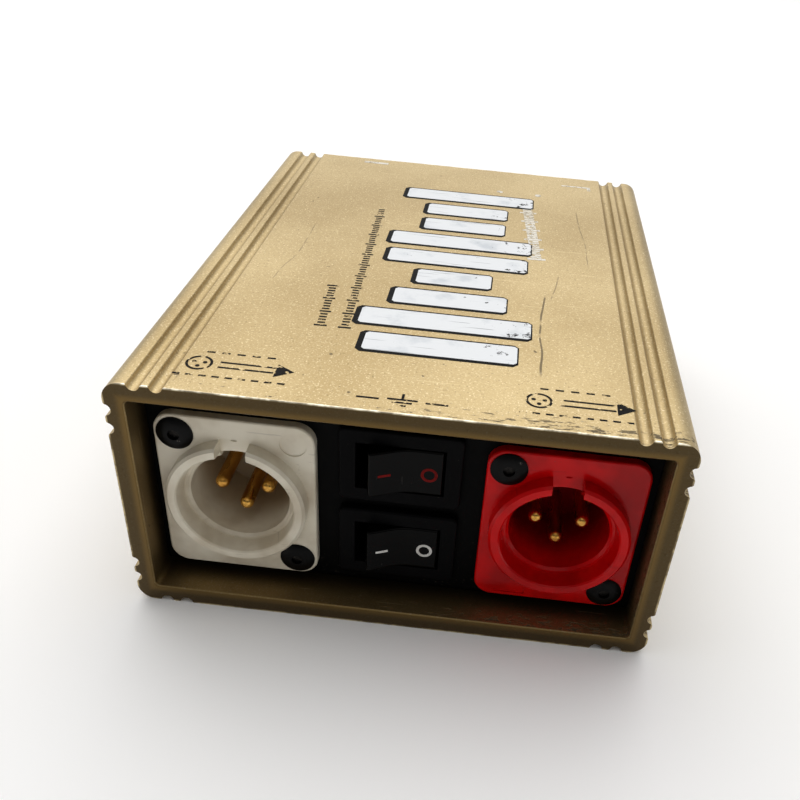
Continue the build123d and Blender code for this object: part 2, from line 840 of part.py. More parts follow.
for side, x in (("left", -transformer_offset), ("right", transformer_offset)):
    with BuildPart() as can:
        with BuildSketch(Plane.XY.offset(board_top)):
            with Locations((x, transformer_y)):
                RectangleRounded(can_size[0], can_size[1], can_corner)
        extrude(amount=can_size[2])
        fillet(can.faces().sort_by(Axis.Z)[-1].edges(), can_top_round)
        with BuildSketch(Plane.XY.offset(board_top)):
            with Locations((x, transformer_y)):
                RectangleRounded(
                    can_size[0] - 2 * can_wall, can_size[1] - 2 * can_wall, can_corner - can_wall
                )
        extrude(amount=can_size[2] - can_wall, mode=Mode.SUBTRACT)
    save(can, f"transformer_can_{side}")

    window_x = core_leg / 2 + core_window[0] / 2
    with BuildPart() as core:
        with BuildSketch(facing_front(transformer_y - core_size[1] / 2)):
            with Locations((x, core_mid_z)):
                Rectangle(core_size[0], core_size[2])
            with Locations((x - window_x, core_mid_z), (x + window_x, core_mid_z)):
                Rectangle(core_window[0], core_window[1], mode=Mode.SUBTRACT)
        extrude(amount=-core_size[1])
    save(core, f"transformer_core_{side}")

    with BuildPart() as bobbin:
        with BuildSketch(Plane.XY.offset(core_mid_z - coil_height / 2)):
            with Locations((x, transformer_y)):
                Rectangle(*tube_size)
        extrude(amount=coil_height)
        for level in (core_mid_z - coil_height / 2, core_mid_z + coil_height / 2 - bobbin_wall):
            with BuildSketch(Plane.XY.offset(level)):
                with Locations((x, transformer_y)):
                    Rectangle(*cheek_size)
            extrude(amount=bobbin_wall)
        with BuildSketch(Plane.XY.offset(core_mid_z - coil_height / 2)):
            with Locations((x, transformer_y)):
                Rectangle(core_leg + 2 * part_gap, core_size[1] + 2 * part_gap)
        extrude(amount=coil_height, mode=Mode.SUBTRACT)
    save(bobbin, f"transformer_bobbin_{side}")

    with BuildPart() as winding:
        with BuildSketch(Plane.XY.offset(core_mid_z - coil_height / 2 + bobbin_wall)):
            with Locations((x, transformer_y)):
                RectangleRounded(
                    cheek_size[0] - 2 * part_gap, cheek_size[1] - bobbin_margin, bobbin_margin
                )
                Rectangle(*tube_size, mode=Mode.SUBTRACT)
        extrude(amount=coil_height - 2 * bobbin_wall)
    save(winding, f"transformer_winding_{side}")

with BuildPart() as transformer_feet:
    for x in (-transformer_offset, transformer_offset):
        with BuildSketch(Plane.XY.offset(board_top)):
            with Locations((x, transformer_y)):
                Rectangle(core_size[0], core_size[1])
        extrude(amount=bobbin_foot)
save(transformer_feet, "transformer_feet")

# ---------------------------------------------------------------- mini jack
panel_inside_y = rear_panel_y - sheet
minijack_back_y = panel_inside_y - minijack_body_size[1]

with BuildPart() as minijack_body:
    with BuildSketch(facing_front(panel_inside_y)):
        with Locations((minijack_x, jack_z)):
            RectangleRounded(minijack_body_size[0], minijack_body_size[2], minijack_body_round)
    extrude(amount=minijack_body_size[1])
    with BuildSketch(facing_front(panel_inside_y)):
        with Locations((minijack_x, jack_z)):
            Circle(minijack_cavity_radius)
    extrude(amount=minijack_body_size[1] - 2 * sheet, mode=Mode.SUBTRACT)
save(minijack_body, "minijack_body")

with BuildPart() as minijack_bushing:
    with BuildSketch(facing_front(panel_inside_y)):
        with Locations((minijack_x, jack_z)):
            Circle(minijack_thread_radius)
            Circle(minijack_bore_radius, mode=Mode.SUBTRACT)
    extrude(amount=-(sheet + minijack_reach))
    mouth = minijack_bushing.faces().sort_by(Axis.Y)[-1]
    chamfer(mouth.edges(), jack_chamfer)
save(minijack_bushing, "minijack_bushing")

with BuildPart() as minijack_nut:
    with BuildSketch(facing_front(rear_panel_y)):
        with Locations((minijack_x, jack_z)):
            RegularPolygon(minijack_nut_radius, minijack_nut_sides)
            Circle(minijack_thread_radius + thread_gap, mode=Mode.SUBTRACT)
    extrude(amount=-minijack_nut_height)
    rounded = minijack_nut.faces().sort_by(Axis.Y)[-1]
    chamfer(rounded.outer_wire().edges(), jack_chamfer)
save(minijack_nut, "minijack_nut")

minijack_lug_places = [minijack_x + n * minijack_lug_pitch for n in (-1, 0, 1)]
with BuildPart() as minijack_lugs:
    with BuildSketch(facing_front(minijack_back_y)):
        with Locations(*[(x, jack_z) for x in minijack_lug_places]):
            Rectangle(*minijack_lug_size)
    extrude(amount=minijack_lug_length)
save(minijack_lugs, "minijack_lugs")

# ---------------------------------------------------------------- phono jacks
phono_end = phono_hex_height + phono_barrel_length
phono_inner_radius = phono_barrel_radius - phono_shell_thickness
shank_end = -(sheet + phono_shank_length)
phono_contact_radius = phono_pin_hole + phono_contact_wall
contact_front = phono_end - phono_contact_setback
tail_end_y = rear_panel_y + shank_end - phono_tail_length

for colour, x in phono_places.items():
    with BuildPart() as barrel:
        with BuildSketch(facing_front(rear_panel_y)):
            with Locations((x, jack_z)):
                RegularPolygon(phono_hex_radius, hex_sides)
        extrude(amount=-phono_hex_height)
        with BuildSketch(along_axis(x, rear_panel_y, jack_z)):
            with BuildLine():
                Polyline(
                    (phono_inner_radius, phono_end),
                    (phono_barrel_radius - phono_lip_chamfer, phono_end),
                    (phono_barrel_radius, phono_end - phono_lip_chamfer),
                    (phono_barrel_radius, phono_hex_height / 2),
                    (phono_shank_radius, phono_hex_height / 2),
                    (phono_shank_radius, shank_end),
                    (phono_inner_radius, shank_end),
                    close=True,
                )
            make_face()
        revolve(axis=axis_along_y(x, rear_panel_y, jack_z))
        with BuildSketch(facing_front(rear_panel_y + phono_end)):
            with Locations((x, jack_z)):
                Circle(phono_inner_radius)
        extrude(amount=phono_end - shank_end, mode=Mode.SUBTRACT)
    save(barrel, f"phono_barrel_{colour}")

    with BuildPart() as insulator:
        with BuildSketch(facing_front(rear_panel_y + phono_end - phono_face_setback)):
            with Locations((x, jack_z)):
                Circle(phono_inner_radius - pin_gap)
                Circle(phono_contact_radius + pin_gap, mode=Mode.SUBTRACT)
        extrude(amount=phono_end - phono_face_setback - shank_end)
    save(insulator, f"phono_insulator_{colour}")

    with BuildPart() as centre_contact:
        with BuildSketch(along_axis(x, rear_panel_y, jack_z)):
            with BuildLine():
                Polyline(
                    (phono_pin_hole, contact_front),
                    (phono_contact_radius, contact_front),
                    (phono_contact_radius, shank_end),
                    (phono_tail_radius, shank_end),
                    (phono_tail_radius, shank_end - phono_tail_length),
                    (0, shank_end - phono_tail_length),
                    (0, shank_end + sheet),
                    (phono_pin_hole, shank_end + sheet),
                    close=True,
                )
            make_face()
        revolve(axis=axis_along_y(x, rear_panel_y, jack_z))
    save(centre_contact, f"phono_contact_{colour}")

with BuildPart() as phono_tags:
    for x in phono_places.values():
        with BuildSketch(facing_front(panel_inside_y)):
            with Locations((x, jack_z)):
                Circle(tag_radius)
                Rectangle(
                    tag_tail_width, tag_radius + tag_tail_length, align=(Align.CENTER, Align.MIN)
                )
                Circle(phono_shank_radius + thread_gap, mode=Mode.SUBTRACT)
        extrude(amount=tag_thickness)
save(phono_tags, "phono_ground_tags")

with BuildPart() as phono_nuts:
    for x in phono_places.values():
        with BuildSketch(facing_front(panel_inside_y - tag_thickness)):
            with Locations((x, jack_z)):
                RegularPolygon(phono_nut_radius, hex_sides)
                Circle(phono_shank_radius + thread_gap, mode=Mode.SUBTRACT)
        extrude(amount=phono_nut_height)
save(phono_nuts, "phono_nuts")


# ---------------------------------------------------------------- wires
def bend_radii(points):
    """The largest arc that each corner's two runs leave room for."""
    runs = [Vector(b) - Vector(a) for a, b in zip(points, points[1:])]
    radii = []
    for one, two in zip(runs, runs[1:]):
        turn = radians(one.get_angle(two))
        radii.append(wire_bend_share * min(one.length, two.length) / tan(turn / 2))
    return radii


def wire_route(start, from_y, steps, shift=0.0):
    """Points of a wire: straight out of its terminal, past each step, then down to the board.

    shift moves every step after the first one further along X.
    """
    x, _, z = start
    points = [start]
    for n, (step_y, step_z) in enumerate(steps):
        points.append((x + n * shift, from_y + step_y, z + step_z))
    end_x, end_y, _ = points[-1]
    return [*points, (end_x, end_y, board_top)]


def save_wires(name, routes):
    """Insulated wires of one bundle, each a tube along straight runs and tangent arcs."""
    with BuildPart() as bundle:
        for points in routes:
            with BuildLine() as path:
                FilletPolyline(*points, radius=bend_radii(points))
            start = Vector(points[0])
            with BuildSketch(Plane(origin=start, z_dir=Vector(points[1]) - start)):
                Circle(wire_radius)
            sweep(path=path.line)
    save(bundle, name)


wire_start_y = cup_end_y - solder_cup_depth + part_gap
for colour, x in connector_places.items():
    routes = []
    for px, pz in pin_spots:
        steps = outer_pin_route if px else centre_pin_route
        start = (x + px, wire_start_y, connector_z + pz)
        routes.append(wire_route(start, board_front_y, steps))
    save_wires(f"output_wires_{colour}", routes)

switch_routes = []
for x in (0.0, terminal_x):
    start = (x, terminal_end_y, switch_places["lower"])
    switch_routes.append(wire_route(start, board_front_y, lower_switch_route))
    start = (x, terminal_end_y, switch_places["upper"])
    switch_routes.append(wire_route(start, board_front_y, upper_switch_route, upper_switch_shift))
save_wires("switch_wires", switch_routes)

jack_pad_y = board_front_y + board_length - jack_pad_inset
minijack_routes = []
for x in minijack_lug_places:
    start = (x, minijack_back_y - minijack_lug_length, jack_z)
    minijack_routes.append(wire_route(start, jack_pad_y, minijack_route))
save_wires("minijack_wires", minijack_routes)

tag_wire_z = jack_z + tag_radius + tag_tail_length / 2
phono_routes = []
for x in phono_places.values():
    start = (x, tail_end_y, jack_z)
    phono_routes.append(wire_route(start, jack_pad_y, phono_tail_route, phono_shift))
    start = (x, panel_inside_y - tag_thickness, tag_wire_z)
    phono_routes.append(wire_route(start, jack_pad_y, phono_tag_route, phono_shift))
save_wires("phono_wires", phono_routes)
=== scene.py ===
"""Looks of a two-channel direct injection box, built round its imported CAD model.

Everything is in metres in the model's own frame: +Z is up, the connectors face -Y, the
white channel is on the -X side, and the origin is the centre of the underside.
"""
import json
from math import cos, pi, radians, sin

import bmesh
import bpy
from mathutils import Matrix, Vector


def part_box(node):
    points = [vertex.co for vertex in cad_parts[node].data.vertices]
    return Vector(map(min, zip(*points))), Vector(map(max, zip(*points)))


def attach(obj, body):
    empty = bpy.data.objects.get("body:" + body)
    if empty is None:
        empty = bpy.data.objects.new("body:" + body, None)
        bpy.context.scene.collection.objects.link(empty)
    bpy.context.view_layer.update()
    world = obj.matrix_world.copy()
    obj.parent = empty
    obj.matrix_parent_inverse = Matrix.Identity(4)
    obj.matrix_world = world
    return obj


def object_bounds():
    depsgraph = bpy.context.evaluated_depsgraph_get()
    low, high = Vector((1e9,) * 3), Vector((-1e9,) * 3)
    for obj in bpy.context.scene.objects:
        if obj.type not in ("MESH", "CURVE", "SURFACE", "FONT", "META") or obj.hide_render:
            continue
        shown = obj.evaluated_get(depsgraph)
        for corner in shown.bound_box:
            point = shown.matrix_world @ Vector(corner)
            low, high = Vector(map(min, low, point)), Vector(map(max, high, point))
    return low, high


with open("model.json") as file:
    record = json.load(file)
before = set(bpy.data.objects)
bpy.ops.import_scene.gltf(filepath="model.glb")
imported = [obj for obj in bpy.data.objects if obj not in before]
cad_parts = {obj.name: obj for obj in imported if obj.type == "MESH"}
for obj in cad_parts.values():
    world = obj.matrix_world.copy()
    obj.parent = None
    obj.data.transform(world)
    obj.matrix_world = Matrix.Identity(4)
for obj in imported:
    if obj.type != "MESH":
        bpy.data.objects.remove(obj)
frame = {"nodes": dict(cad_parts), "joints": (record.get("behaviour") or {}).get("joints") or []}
cad_low, cad_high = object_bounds()

# ---------------------------------------------------------------- camera
# Held close above the front edge and turned a little about its own line of sight.
# A small lens shift sets the box off the middle of the view.
MM = 0.001
AIM_FROM_CENTRE = Vector((7.03, -10.70, -15.33)) * MM
CAMERA_DISTANCE = 184.84  # in millimetres
aim = (cad_low + cad_high) / 2 + AIM_FROM_CENTRE
azimuth, elevation, roll = radians(1.83), radians(35.45), radians(5.14)
back = Vector((sin(azimuth) * cos(elevation), -cos(azimuth) * cos(elevation), sin(elevation)))
camera_data = bpy.data.cameras.new("camera")
camera_data.lens = 38.864
camera_data.sensor_width = 36.0
camera_data.shift_x = -0.06875
camera_data.shift_y = 0.05625
camera_data.clip_start = 5 * MM
camera_data.clip_end = 20.0
camera = bpy.data.objects.new("camera", camera_data)
bpy.context.scene.collection.objects.link(camera)
looking = (-back).to_track_quat("-Z", "Y").to_matrix() @ Matrix.Rotation(roll, 3, "Z")
camera.matrix_world = Matrix.LocRotScale(aim + back * CAMERA_DISTANCE * MM, looking, None)
bpy.context.scene.camera = camera


# ---------------------------------------------------------------- floor and light
# A plain pale floor under one wide soft light above and behind the box, with a weak one in
# front. The room is pale behind the box and darker before it, so the front recess is in shade.
class Value:
    """One socket of a node tree. Arithmetic on it adds Math nodes."""

    def __init__(self, owner, socket):
        self.owner = owner
        self.socket = socket

    def maths(self, operation, *others):
        sockets = dict(enumerate((self,) + others))
        return self.owner.node("Math", {"operation": operation}, sockets)

    def __add__(self, other):
        return self.maths("ADD", other)

    def __sub__(self, other):
        return self.maths("SUBTRACT", other)

    def __rsub__(self, other):
        return self.owner.node("Math", {"operation": "SUBTRACT"}, {0: other, 1: self})

    def __mul__(self, other):
        return self.maths("MULTIPLY", other)

    def __truediv__(self, other):
        return self.maths("DIVIDE", other)

    def __abs__(self):
        return self.maths("ABSOLUTE")

    __radd__ = __add__
    __rmul__ = __mul__


class Nodes:
    """A node tree that is filled from the script."""

    def node(self, kind, settings=None, inputs=None, output=0):
        """Adds a node, gives it its settings, then its sockets, and gives one output back."""
        made = self.tree.nodes.new(kind if "Node" in kind else "ShaderNode" + kind)
        for key, value in (settings or {}).items():
            setattr(made, key, value)
        for key, value in (inputs or {}).items():
            for one in value if isinstance(value, list) else [value]:
                if isinstance(one, Value):
                    self.tree.links.new(one.socket, made.inputs[key])
                else:
                    made.inputs[key].default_value = one
        return Value(self, made.outputs[output]) if len(made.outputs) else None


class Finish(Nodes):
    """One material. x, y and z are the place on the object, in metres."""

    def __init__(self, name):
        self.material = bpy.data.materials.new(name)
        self.material.use_nodes = True
        self.tree = self.material.node_tree
        self.tree.nodes.clear()
        self.place = self.node("TexCoord", output="Object")
        parts = self.node("SeparateXYZ", inputs={0: self.place}).socket.node
        self.x, self.y, self.z = (Value(self, parts.outputs[n]) for n in range(3))

    def noise(self, scale, detail=2.0, rough=0.5, stretch=(1, 1, 1), turn=0.0, shift=0.0):
        """Cloudy noise from 0 to 1. scale is in cycles per metre, stretch multiplies it by axis."""
        place = self.place
        if stretch != (1, 1, 1) or turn or shift:
            settings = {"Vector": place, "Scale": stretch, "Rotation": (0, 0, turn)}
            settings["Location"] = (shift, shift * 0.7, shift * 0.3)
            place = self.node("Mapping", inputs=settings)
        settings = {"Vector": place, "Scale": scale, "Detail": detail, "Roughness": rough}
        return self.node("TexNoise", inputs=settings)

    def step(self, value, low, high):
        """0 below low, 1 above high and smooth between."""
        ends = {"Value": value, "From Min": low, "From Max": high}
        return self.node("MapRange", {"interpolation_type": "SMOOTHSTEP"}, ends)

    def mix(self, share, first, second):
        """A colour between first and second."""
        return self.node("Mix", {"data_type": "RGBA"}, {0: share, 6: first, 7: second}, 2)

    def bump(self, height, depth, under=None):
        """A relief depth metres deep, on top of another one."""
        inputs = {"Height": height, "Distance": depth, "Strength": 1.0}
        if under:
            inputs["Normal"] = under
        return self.node("Bump", {}, inputs)

    def surface(self, **sockets):
        """Ends the material. Underscores stand for the spaces of the shader's socket names."""
        inputs = {key.replace("_", " "): value for key, value in sockets.items()}
        shader = self.node("BsdfPrincipled", inputs=inputs)
        self.node("OutputMaterial", inputs={"Surface": shader})
        return self.material


def colour(red, green, blue):
    """A colour given as it looks on a screen, 0 to 255, in the linear values nodes want."""
    def linear(value):
        value /= 255
        return value / 12.92 if value <= 0.04045 else ((value + 0.055) / 1.055) ** 2.4
    return (linear(red), linear(green), linear(blue), 1.0)


def linked(piece):
    """Puts a piece in the scene and gives it back."""
    bpy.context.scene.collection.objects.link(piece)
    return piece


def light(name, place, target, size, power, tint):
    """A square soft light at place, turned towards target."""
    lamp = bpy.data.lights.new(name, "AREA")
    lamp.size = size
    lamp.energy = power
    lamp.color = tint
    shone = linked(bpy.data.objects.new(name, lamp))
    shone.location = place
    shone.rotation_mode = "QUATERNION"
    shone.rotation_quaternion = (Vector(target) - Vector(place)).to_track_quat("-Z", "Y")


paper = Finish("floor_paper")
shade = paper.noise(6.0, 2)
paper_tone = paper.mix(shade, colour(250, 250, 250), colour(254, 254, 254))
floor_mesh = bpy.data.meshes.new("floor")
grid = bmesh.new()
floor_reach = 3.0
floor_drop = 0.02 * MM
bmesh.ops.create_grid(grid, x_segments=1, y_segments=1, size=floor_reach)
bmesh.ops.translate(grid, vec=(0, 0, cad_low.z - floor_drop), verts=grid.verts)
grid.to_mesh(floor_mesh)
grid.free()
floor_mesh.materials.append(paper.surface(Base_Color=paper_tone, Roughness=0.95))
linked(bpy.data.objects.new("floor", floor_mesh))

box_middle = (0, 0, 0.02)
light("key_light", (-0.12, 0.45, 1.00), box_middle, size=1.5, power=12.8, tint=(1.0, 0.985, 0.965))
light("front_fill", (0.10, -0.80, 1.05), box_middle, size=1.1, power=1.5, tint=(1.0, 0.99, 0.98))
world = bpy.data.worlds.new("room")
world.use_nodes = True
world.node_tree.nodes.clear()
room = Nodes()
room.tree = world.node_tree
heading = room.node("SeparateXYZ", inputs={0: room.node("TexCoord", output="Generated")}, output=1)
share = room.node("MapRange", inputs={"Value": heading, "From Min": -0.7, "From Max": 0.8})
shades = {0: share, 6: colour(92, 92, 92), 7: colour(226, 226, 226)}
wall_shade = room.node("Mix", {"data_type": "RGBA"}, shades, 2)
room.node("OutputWorld", inputs={0: room.node("Background", inputs={0: wall_shade})})
bpy.context.scene.world = world
bpy.context.scene.view_settings.view_transform = "Standard"

# ---------------------------------------------------------------- sleeve
# Extruded aluminium tube, sawn to length, bead blasted and anodised a pale gold. Handling
# has rubbed its rims bright. Specks and long fine scratches lie by their place in plan, so
# those meant for the top show on the underside too. Painted shade darkens the end faces and
# the inner walls, and a painted highlight runs along the rims' top edges.
gold = Finish("gold_anodised_aluminium")
low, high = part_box("sleeve")
from_front = gold.y - low.y
from_end = from_front.maths("MINIMUM", high.y - gold.y)
from_top = high.z - gold.z
from_skin = (high.x - abs(gold.x)).maths("MINIMUM", from_top.maths("MINIMUM", gold.z - low.z))
grain = gold.noise(3100, 2, 0.6)
pits = gold.noise(2300, 1, 0.5, shift=0.31)
cloud = gold.noise(26, 3)
dye_and_painted_light = gold.mix(gold.step(cloud, 0.3, 0.7), colour(163, 142, 100), colour(182, 162, 120))
dye_and_painted_light = gold.mix(gold.step(grain, 0.52, 0.76) * 0.62, dye_and_painted_light, colour(238, 224, 190))
dye_and_painted_light = gold.mix(gold.step(pits, 0.60, 0.78) * 0.55, dye_and_painted_light, colour(112, 95, 60))
# Painted shade on the end faces, front and rear: a dark olive brown standing in for the shade they
# lie in.
end_face_shade = 1 - gold.step(from_end, 0.02 * MM, 0.12 * MM)
# Painted shade on the inner walls, darker still towards the panel, standing in for the shade in the
# recess.
inside = gold.step(from_skin, 1.6 * MM, 2.9 * MM)
dye_and_painted_light = gold.mix(end_face_shade * 0.92, dye_and_painted_light, colour(62, 48, 26))
dye_and_painted_light = gold.mix(inside * 0.7, dye_and_painted_light, colour(118, 94, 52))
dye_and_painted_light = gold.mix(inside * gold.step(from_front, 1.5 * MM, 7.0 * MM) * 0.7, dye_and_painted_light, colour(26, 21, 12))

# Rims: bright metal where the anodising is rubbed through, broken by noise. Along the top
# edges it turns near white, a painted highlight for the light a rounded edge would catch.
rub = gold.noise(320, 3, 0.6, shift=0.12)
rim = 1 - gold.step(from_end + from_skin, 0.10 * MM, 0.36 * MM)
rim_wear_and_highlight = rim * (0.25 + gold.step(rub, 0.40, 0.60) * 0.75)
# Painted highlight: the rim's top edge is near white.
upper = 1 - gold.step(from_top, 0.05 * MM, 0.25 * MM)
rubbed_tone_and_highlight = gold.mix(upper, colour(206, 188, 146), colour(252, 246, 226))
dye_and_painted_light = gold.mix(rim_wear_and_highlight * 0.85, dye_and_painted_light, rubbed_tone_and_highlight)

# Dark specks gather behind the front rim, most of them on the red channel's side.
speck_zone = 1 - gold.step(from_front, 0.4 * MM, 6.5 * MM)
speck_side = gold.step(gold.x, -30 * MM, 36 * MM) * 0.16
specks = gold.step(gold.noise(950, 3, 0.7, (0.45, 1.6, 1)) + speck_side * speck_zone, 0.66, 0.74)
specks = specks * speck_zone * gold.step(from_front, 0.1 * MM, 0.5 * MM)
strays = gold.step(gold.noise(430, 2, 0.6, shift=0.53), 0.735, 0.775)


def scratch(x, y_from, y_to, lean, wave, width):
    """A wavering line near x, between two places along the box, in metres."""
    waver = (gold.noise(55, 1, shift=x * 9) - 0.5) * wave
    aside = abs(gold.x - (gold.y - (y_from + y_to) / 2) * lean - waver - x)
    fade = 3 * MM
    along = gold.step(gold.y, y_from, y_from + fade) * (1 - gold.step(gold.y, y_to - fade, y_to))
    broken = gold.step(gold.noise(260, 2, 0.6, shift=x * 31), 0.34, 0.48)
    return (1 - gold.step(aside, width * 0.4, width)) * along * broken


scratches = scratch(21.0 * MM, -43 * MM, -11 * MM, 0.03, 4.0 * MM, 0.22 * MM)
for mark in (
    (23.4 * MM, -15 * MM, -1 * MM, 0.12, 3.0 * MM, 0.16 * MM),
    (-28.0 * MM, -20 * MM, 12 * MM, 0.05, 4.0 * MM, 0.12 * MM),
    (29.0 * MM, 2 * MM, 34 * MM, -0.04, 3.0 * MM, 0.12 * MM),
):
    scratches = scratches + scratch(*mark) * 0.7
hair = gold.noise(60, 2, 0.5, (1, 42, 1), turn=0.5)
hair = gold.step(hair, 0.70, 0.74) * 0.3
dirt = (specks + strays * 0.7 + scratches * 0.75).maths("MINIMUM", 1.0)
dye_and_painted_light = gold.mix(dirt * 0.8, dye_and_painted_light, colour(52, 40, 24))
dye_and_painted_light = gold.mix(hair, dye_and_painted_light, colour(228, 210, 170))
relief = gold.bump(grain * 0.7 + pits * 0.3, 0.016 * MM)
relief = gold.bump(1 - dirt - hair, 0.03 * MM, relief)
gold.surface(
    Base_Color=dye_and_painted_light,
    Metallic=0.92 - dirt * 0.7,
    Roughness=0.47 + (grain - 0.5) * 0.25 - rim_wear_and_highlight * 0.12 + dirt * 0.3,
    Normal=relief,
)


def coat(finish, *nodes):
    """Gives CAD nodes their finish."""
    for node in nodes:
        mesh = frame["nodes"][node].data
        mesh.materials.clear()
        mesh.materials.append(finish.material)


coat(gold, "sleeve")


# ---------------------------------------------------------------- prints on the sleeve
# Screen-printed ink: white bars over a black base that shows all round them, black marks
# above each connector and between the switches, and fine scales. All of it is scuffed.
class Pattern(Nodes):
    """A Geometry Nodes tree with named inputs. make() runs it into one plain mesh piece."""

    def __init__(self, name, **sizes):
        self.tree = bpy.data.node_groups.new(name, "GeometryNodeTree")
        self.tree.is_modifier = True
        kinds = {int: "NodeSocketInt", float: "NodeSocketFloat", type(None): "NodeSocketMaterial"}
        self.sizes = dict(sizes, Material=None)
        self.keys = {}
        for key, value in self.sizes.items():
            kind = kinds[type(value)]
            made = self.tree.interface.new_socket(key, in_out="INPUT", socket_type=kind)
            self.keys[key] = made.identifier
        self.tree.interface.new_socket("Shape", in_out="OUTPUT", socket_type="NodeSocketGeometry")
        self.given = self.tree.nodes.new("NodeGroupInput")

    def __getitem__(self, key):
        return Value(self, self.given.outputs[key])

    def point(self, x, y, z):
        """A vector of numbers or values."""
        return self.node("CombineXYZ", inputs={0: x, 1: y, 2: z})

    def line(self, count, pitch):
        """Points pitch apart along Y, starting at the origin."""
        sockets = {"Count": count, "Offset": self.point(0, pitch, 0)}
        return self.node("GeometryNodeMeshLine", inputs=sockets)

    def end(self, shape):
        """Realizes the shape, gives it its material and closes the tree."""
        real = self.node("GeometryNodeRealizeInstances", inputs={0: shape})
        sockets = {"Geometry": real, "Material": self["Material"]}
        dressed = self.node("GeometryNodeSetMaterial", inputs=sockets)
        self.node("NodeGroupOutput", inputs={0: dressed})

    def make(self, name, body, slot, finish, place=Matrix(), **sizes):
        """Runs the tree at a place and gives back one plain mesh that rides on a body."""
        seed = bpy.data.meshes.new(name + "_seed")
        holder = linked(bpy.data.objects.new(name + "_seed", seed))
        modifier = holder.modifiers.new("pattern", "NODES")
        modifier.node_group = self.tree
        for key, value in dict(self.sizes, **sizes, Material=finish.material).items():
            modifier[self.keys[key]] = value
        graph = bpy.context.evaluated_depsgraph_get()
        mesh = bpy.data.meshes.new_from_object(holder.evaluated_get(graph))
        bpy.data.objects.remove(holder)
        mesh.transform(place)
        shape = bmesh.new()
        shape.from_mesh(mesh)
        return piece(shape, name, body, slot, finish, mesh)


def piece(shape, name, body, slot, finish, mesh=None):
    """Ends a bmesh as a plain piece: doubles merged, faces outwards, riding on a body."""
    bmesh.ops.remove_doubles(shape, verts=shape.verts, dist=0.0002 * MM)
    bmesh.ops.recalc_face_normals(shape, faces=shape.faces)
    mesh = mesh or bpy.data.meshes.new(name)
    mesh.name = name
    shape.to_mesh(mesh)
    shape.free()
    mesh.materials.clear()
    mesh.materials.append(finish.material)
    made = linked(bpy.data.objects.new(name, mesh))
    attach(made, body)
    return made


def ink(name, tone, tired, scale, least, most):
    """Printed ink. It is missing where noise rises above most, and whole below least."""
    made = Finish(name)
    lost = made.step(made.noise(scale, 4, 0.65), least, most)
    fine = made.noise(1800, 2, 0.6, shift=0.4)
    tint = made.mix(made.step(made.noise(90, 3), 0.35, 0.7), tone, tired)
    made.surface(
        Base_Color=tint,
        Roughness=0.42 + fine * 0.25,
        Specular_IOR_Level=0.06,
        Alpha=1 - lost,
        Normal=made.bump(fine, 0.006 * MM),
    )
    return made


black_ink = ink("black_ink", colour(8, 7, 7), colour(24, 20, 16), 700, 0.53, 0.61)
base_ink = ink("black_base_ink", colour(3, 3, 4), colour(12, 11, 10), 420, 0.64, 0.72)

# The white ink is crossed by fine grey scratches and chipped, more so on the red side.
white_ink = Finish("white_ink")
crossed = white_ink.noise(70, 2, 0.5, (1, 30, 1), turn=0.9)
crossed = crossed.maths("MAXIMUM", white_ink.noise(64, 2, 0.5, (1, 34, 1), turn=-0.35, shift=0.3))
crossed = white_ink.step(crossed, 0.69, 0.74)
smear = white_ink.step(white_ink.noise(160, 4, 0.6), 0.5, 0.75)
white_tone = white_ink.mix(smear * 0.7, colour(222, 225, 228), colour(184, 191, 198))
white_tone = white_ink.mix(crossed * 0.75, white_tone, colour(120, 124, 130))
thin = white_ink.step(white_ink.x, 4 * MM, 19 * MM) * 0.12
chipped = white_ink.step(white_ink.noise(420, 5, 0.75, shift=0.7) + thin, 0.68, 0.73)
white_ink.surface(
    Base_Color=white_tone,
    Roughness=0.38 + smear * 0.2,
    Alpha=1 - chipped,
    Normal=white_ink.bump(crossed, 0.01 * MM),
)

# Bars whose lengths rise and fall like a sound wave, each with rounded corners.
INK = 0.02 * MM
bars = Pattern(
    "printed_bars", Count=9, Pitch=9.0 * MM, Thickness=5.9 * MM, Shortest=9.0 * MM,
    Longest=30.0 * MM, Grow=0.0, Corner=0.5 * MM, Ink=INK,
)
along = bars.line(bars["Count"], bars["Pitch"])
number = bars.node("GeometryNodeInputIndex")
swing = abs((number * 0.83 + 0.9).maths("SINE"))
reach = bars["Shortest"] + (bars["Longest"] - bars["Shortest"]) * swing + bars["Grow"] * 2
size = bars.point(reach, bars["Thickness"] + bars["Grow"] * 2, 1.0)
square = bars.node("GeometryNodeCurvePrimitiveQuadrilateral", inputs={"Width": 1.0, "Height": 1.0})
set_out = bars.node(
    "GeometryNodeInstanceOnPoints", inputs={"Points": along, "Instance": square, "Scale": size}
)
outlines = bars.node("GeometryNodeRealizeInstances", inputs={0: set_out})
rounded = bars.node(
    "GeometryNodeFilletCurve",
    inputs={"Curve": outlines, "Radius": bars["Corner"] + bars["Grow"] * 0.5},
)
filled = bars.node("GeometryNodeFillCurve", inputs={0: rounded})
raised = bars.node(
    "GeometryNodeExtrudeMesh",
    inputs={
        "Mesh": filled,
        "Offset": bars.point(0, 0, 1.0),
        "Offset Scale": bars["Ink"],
        "Individual": False,
    },
)
bars.end(bars.node("GeometryNodeJoinGeometry", inputs={0: [raised, filled]}))

top = cad_high.z
print_level = top + 0.01 * MM
wave_place = Vector((4.0 * MM, -36.5 * MM, print_level))
drop = Vector((-0.36, -0.20, 0)) * MM
bars.make(
    "wave_print_base", "case", "gold_anodised_aluminium", base_ink,
    Matrix.Translation(wave_place + drop), Grow=0.62 * MM,
)
bars.make(
    "wave_print", "case", "gold_anodised_aluminium", white_ink,
    Matrix.Translation(wave_place), Ink=INK * 1.6,
)

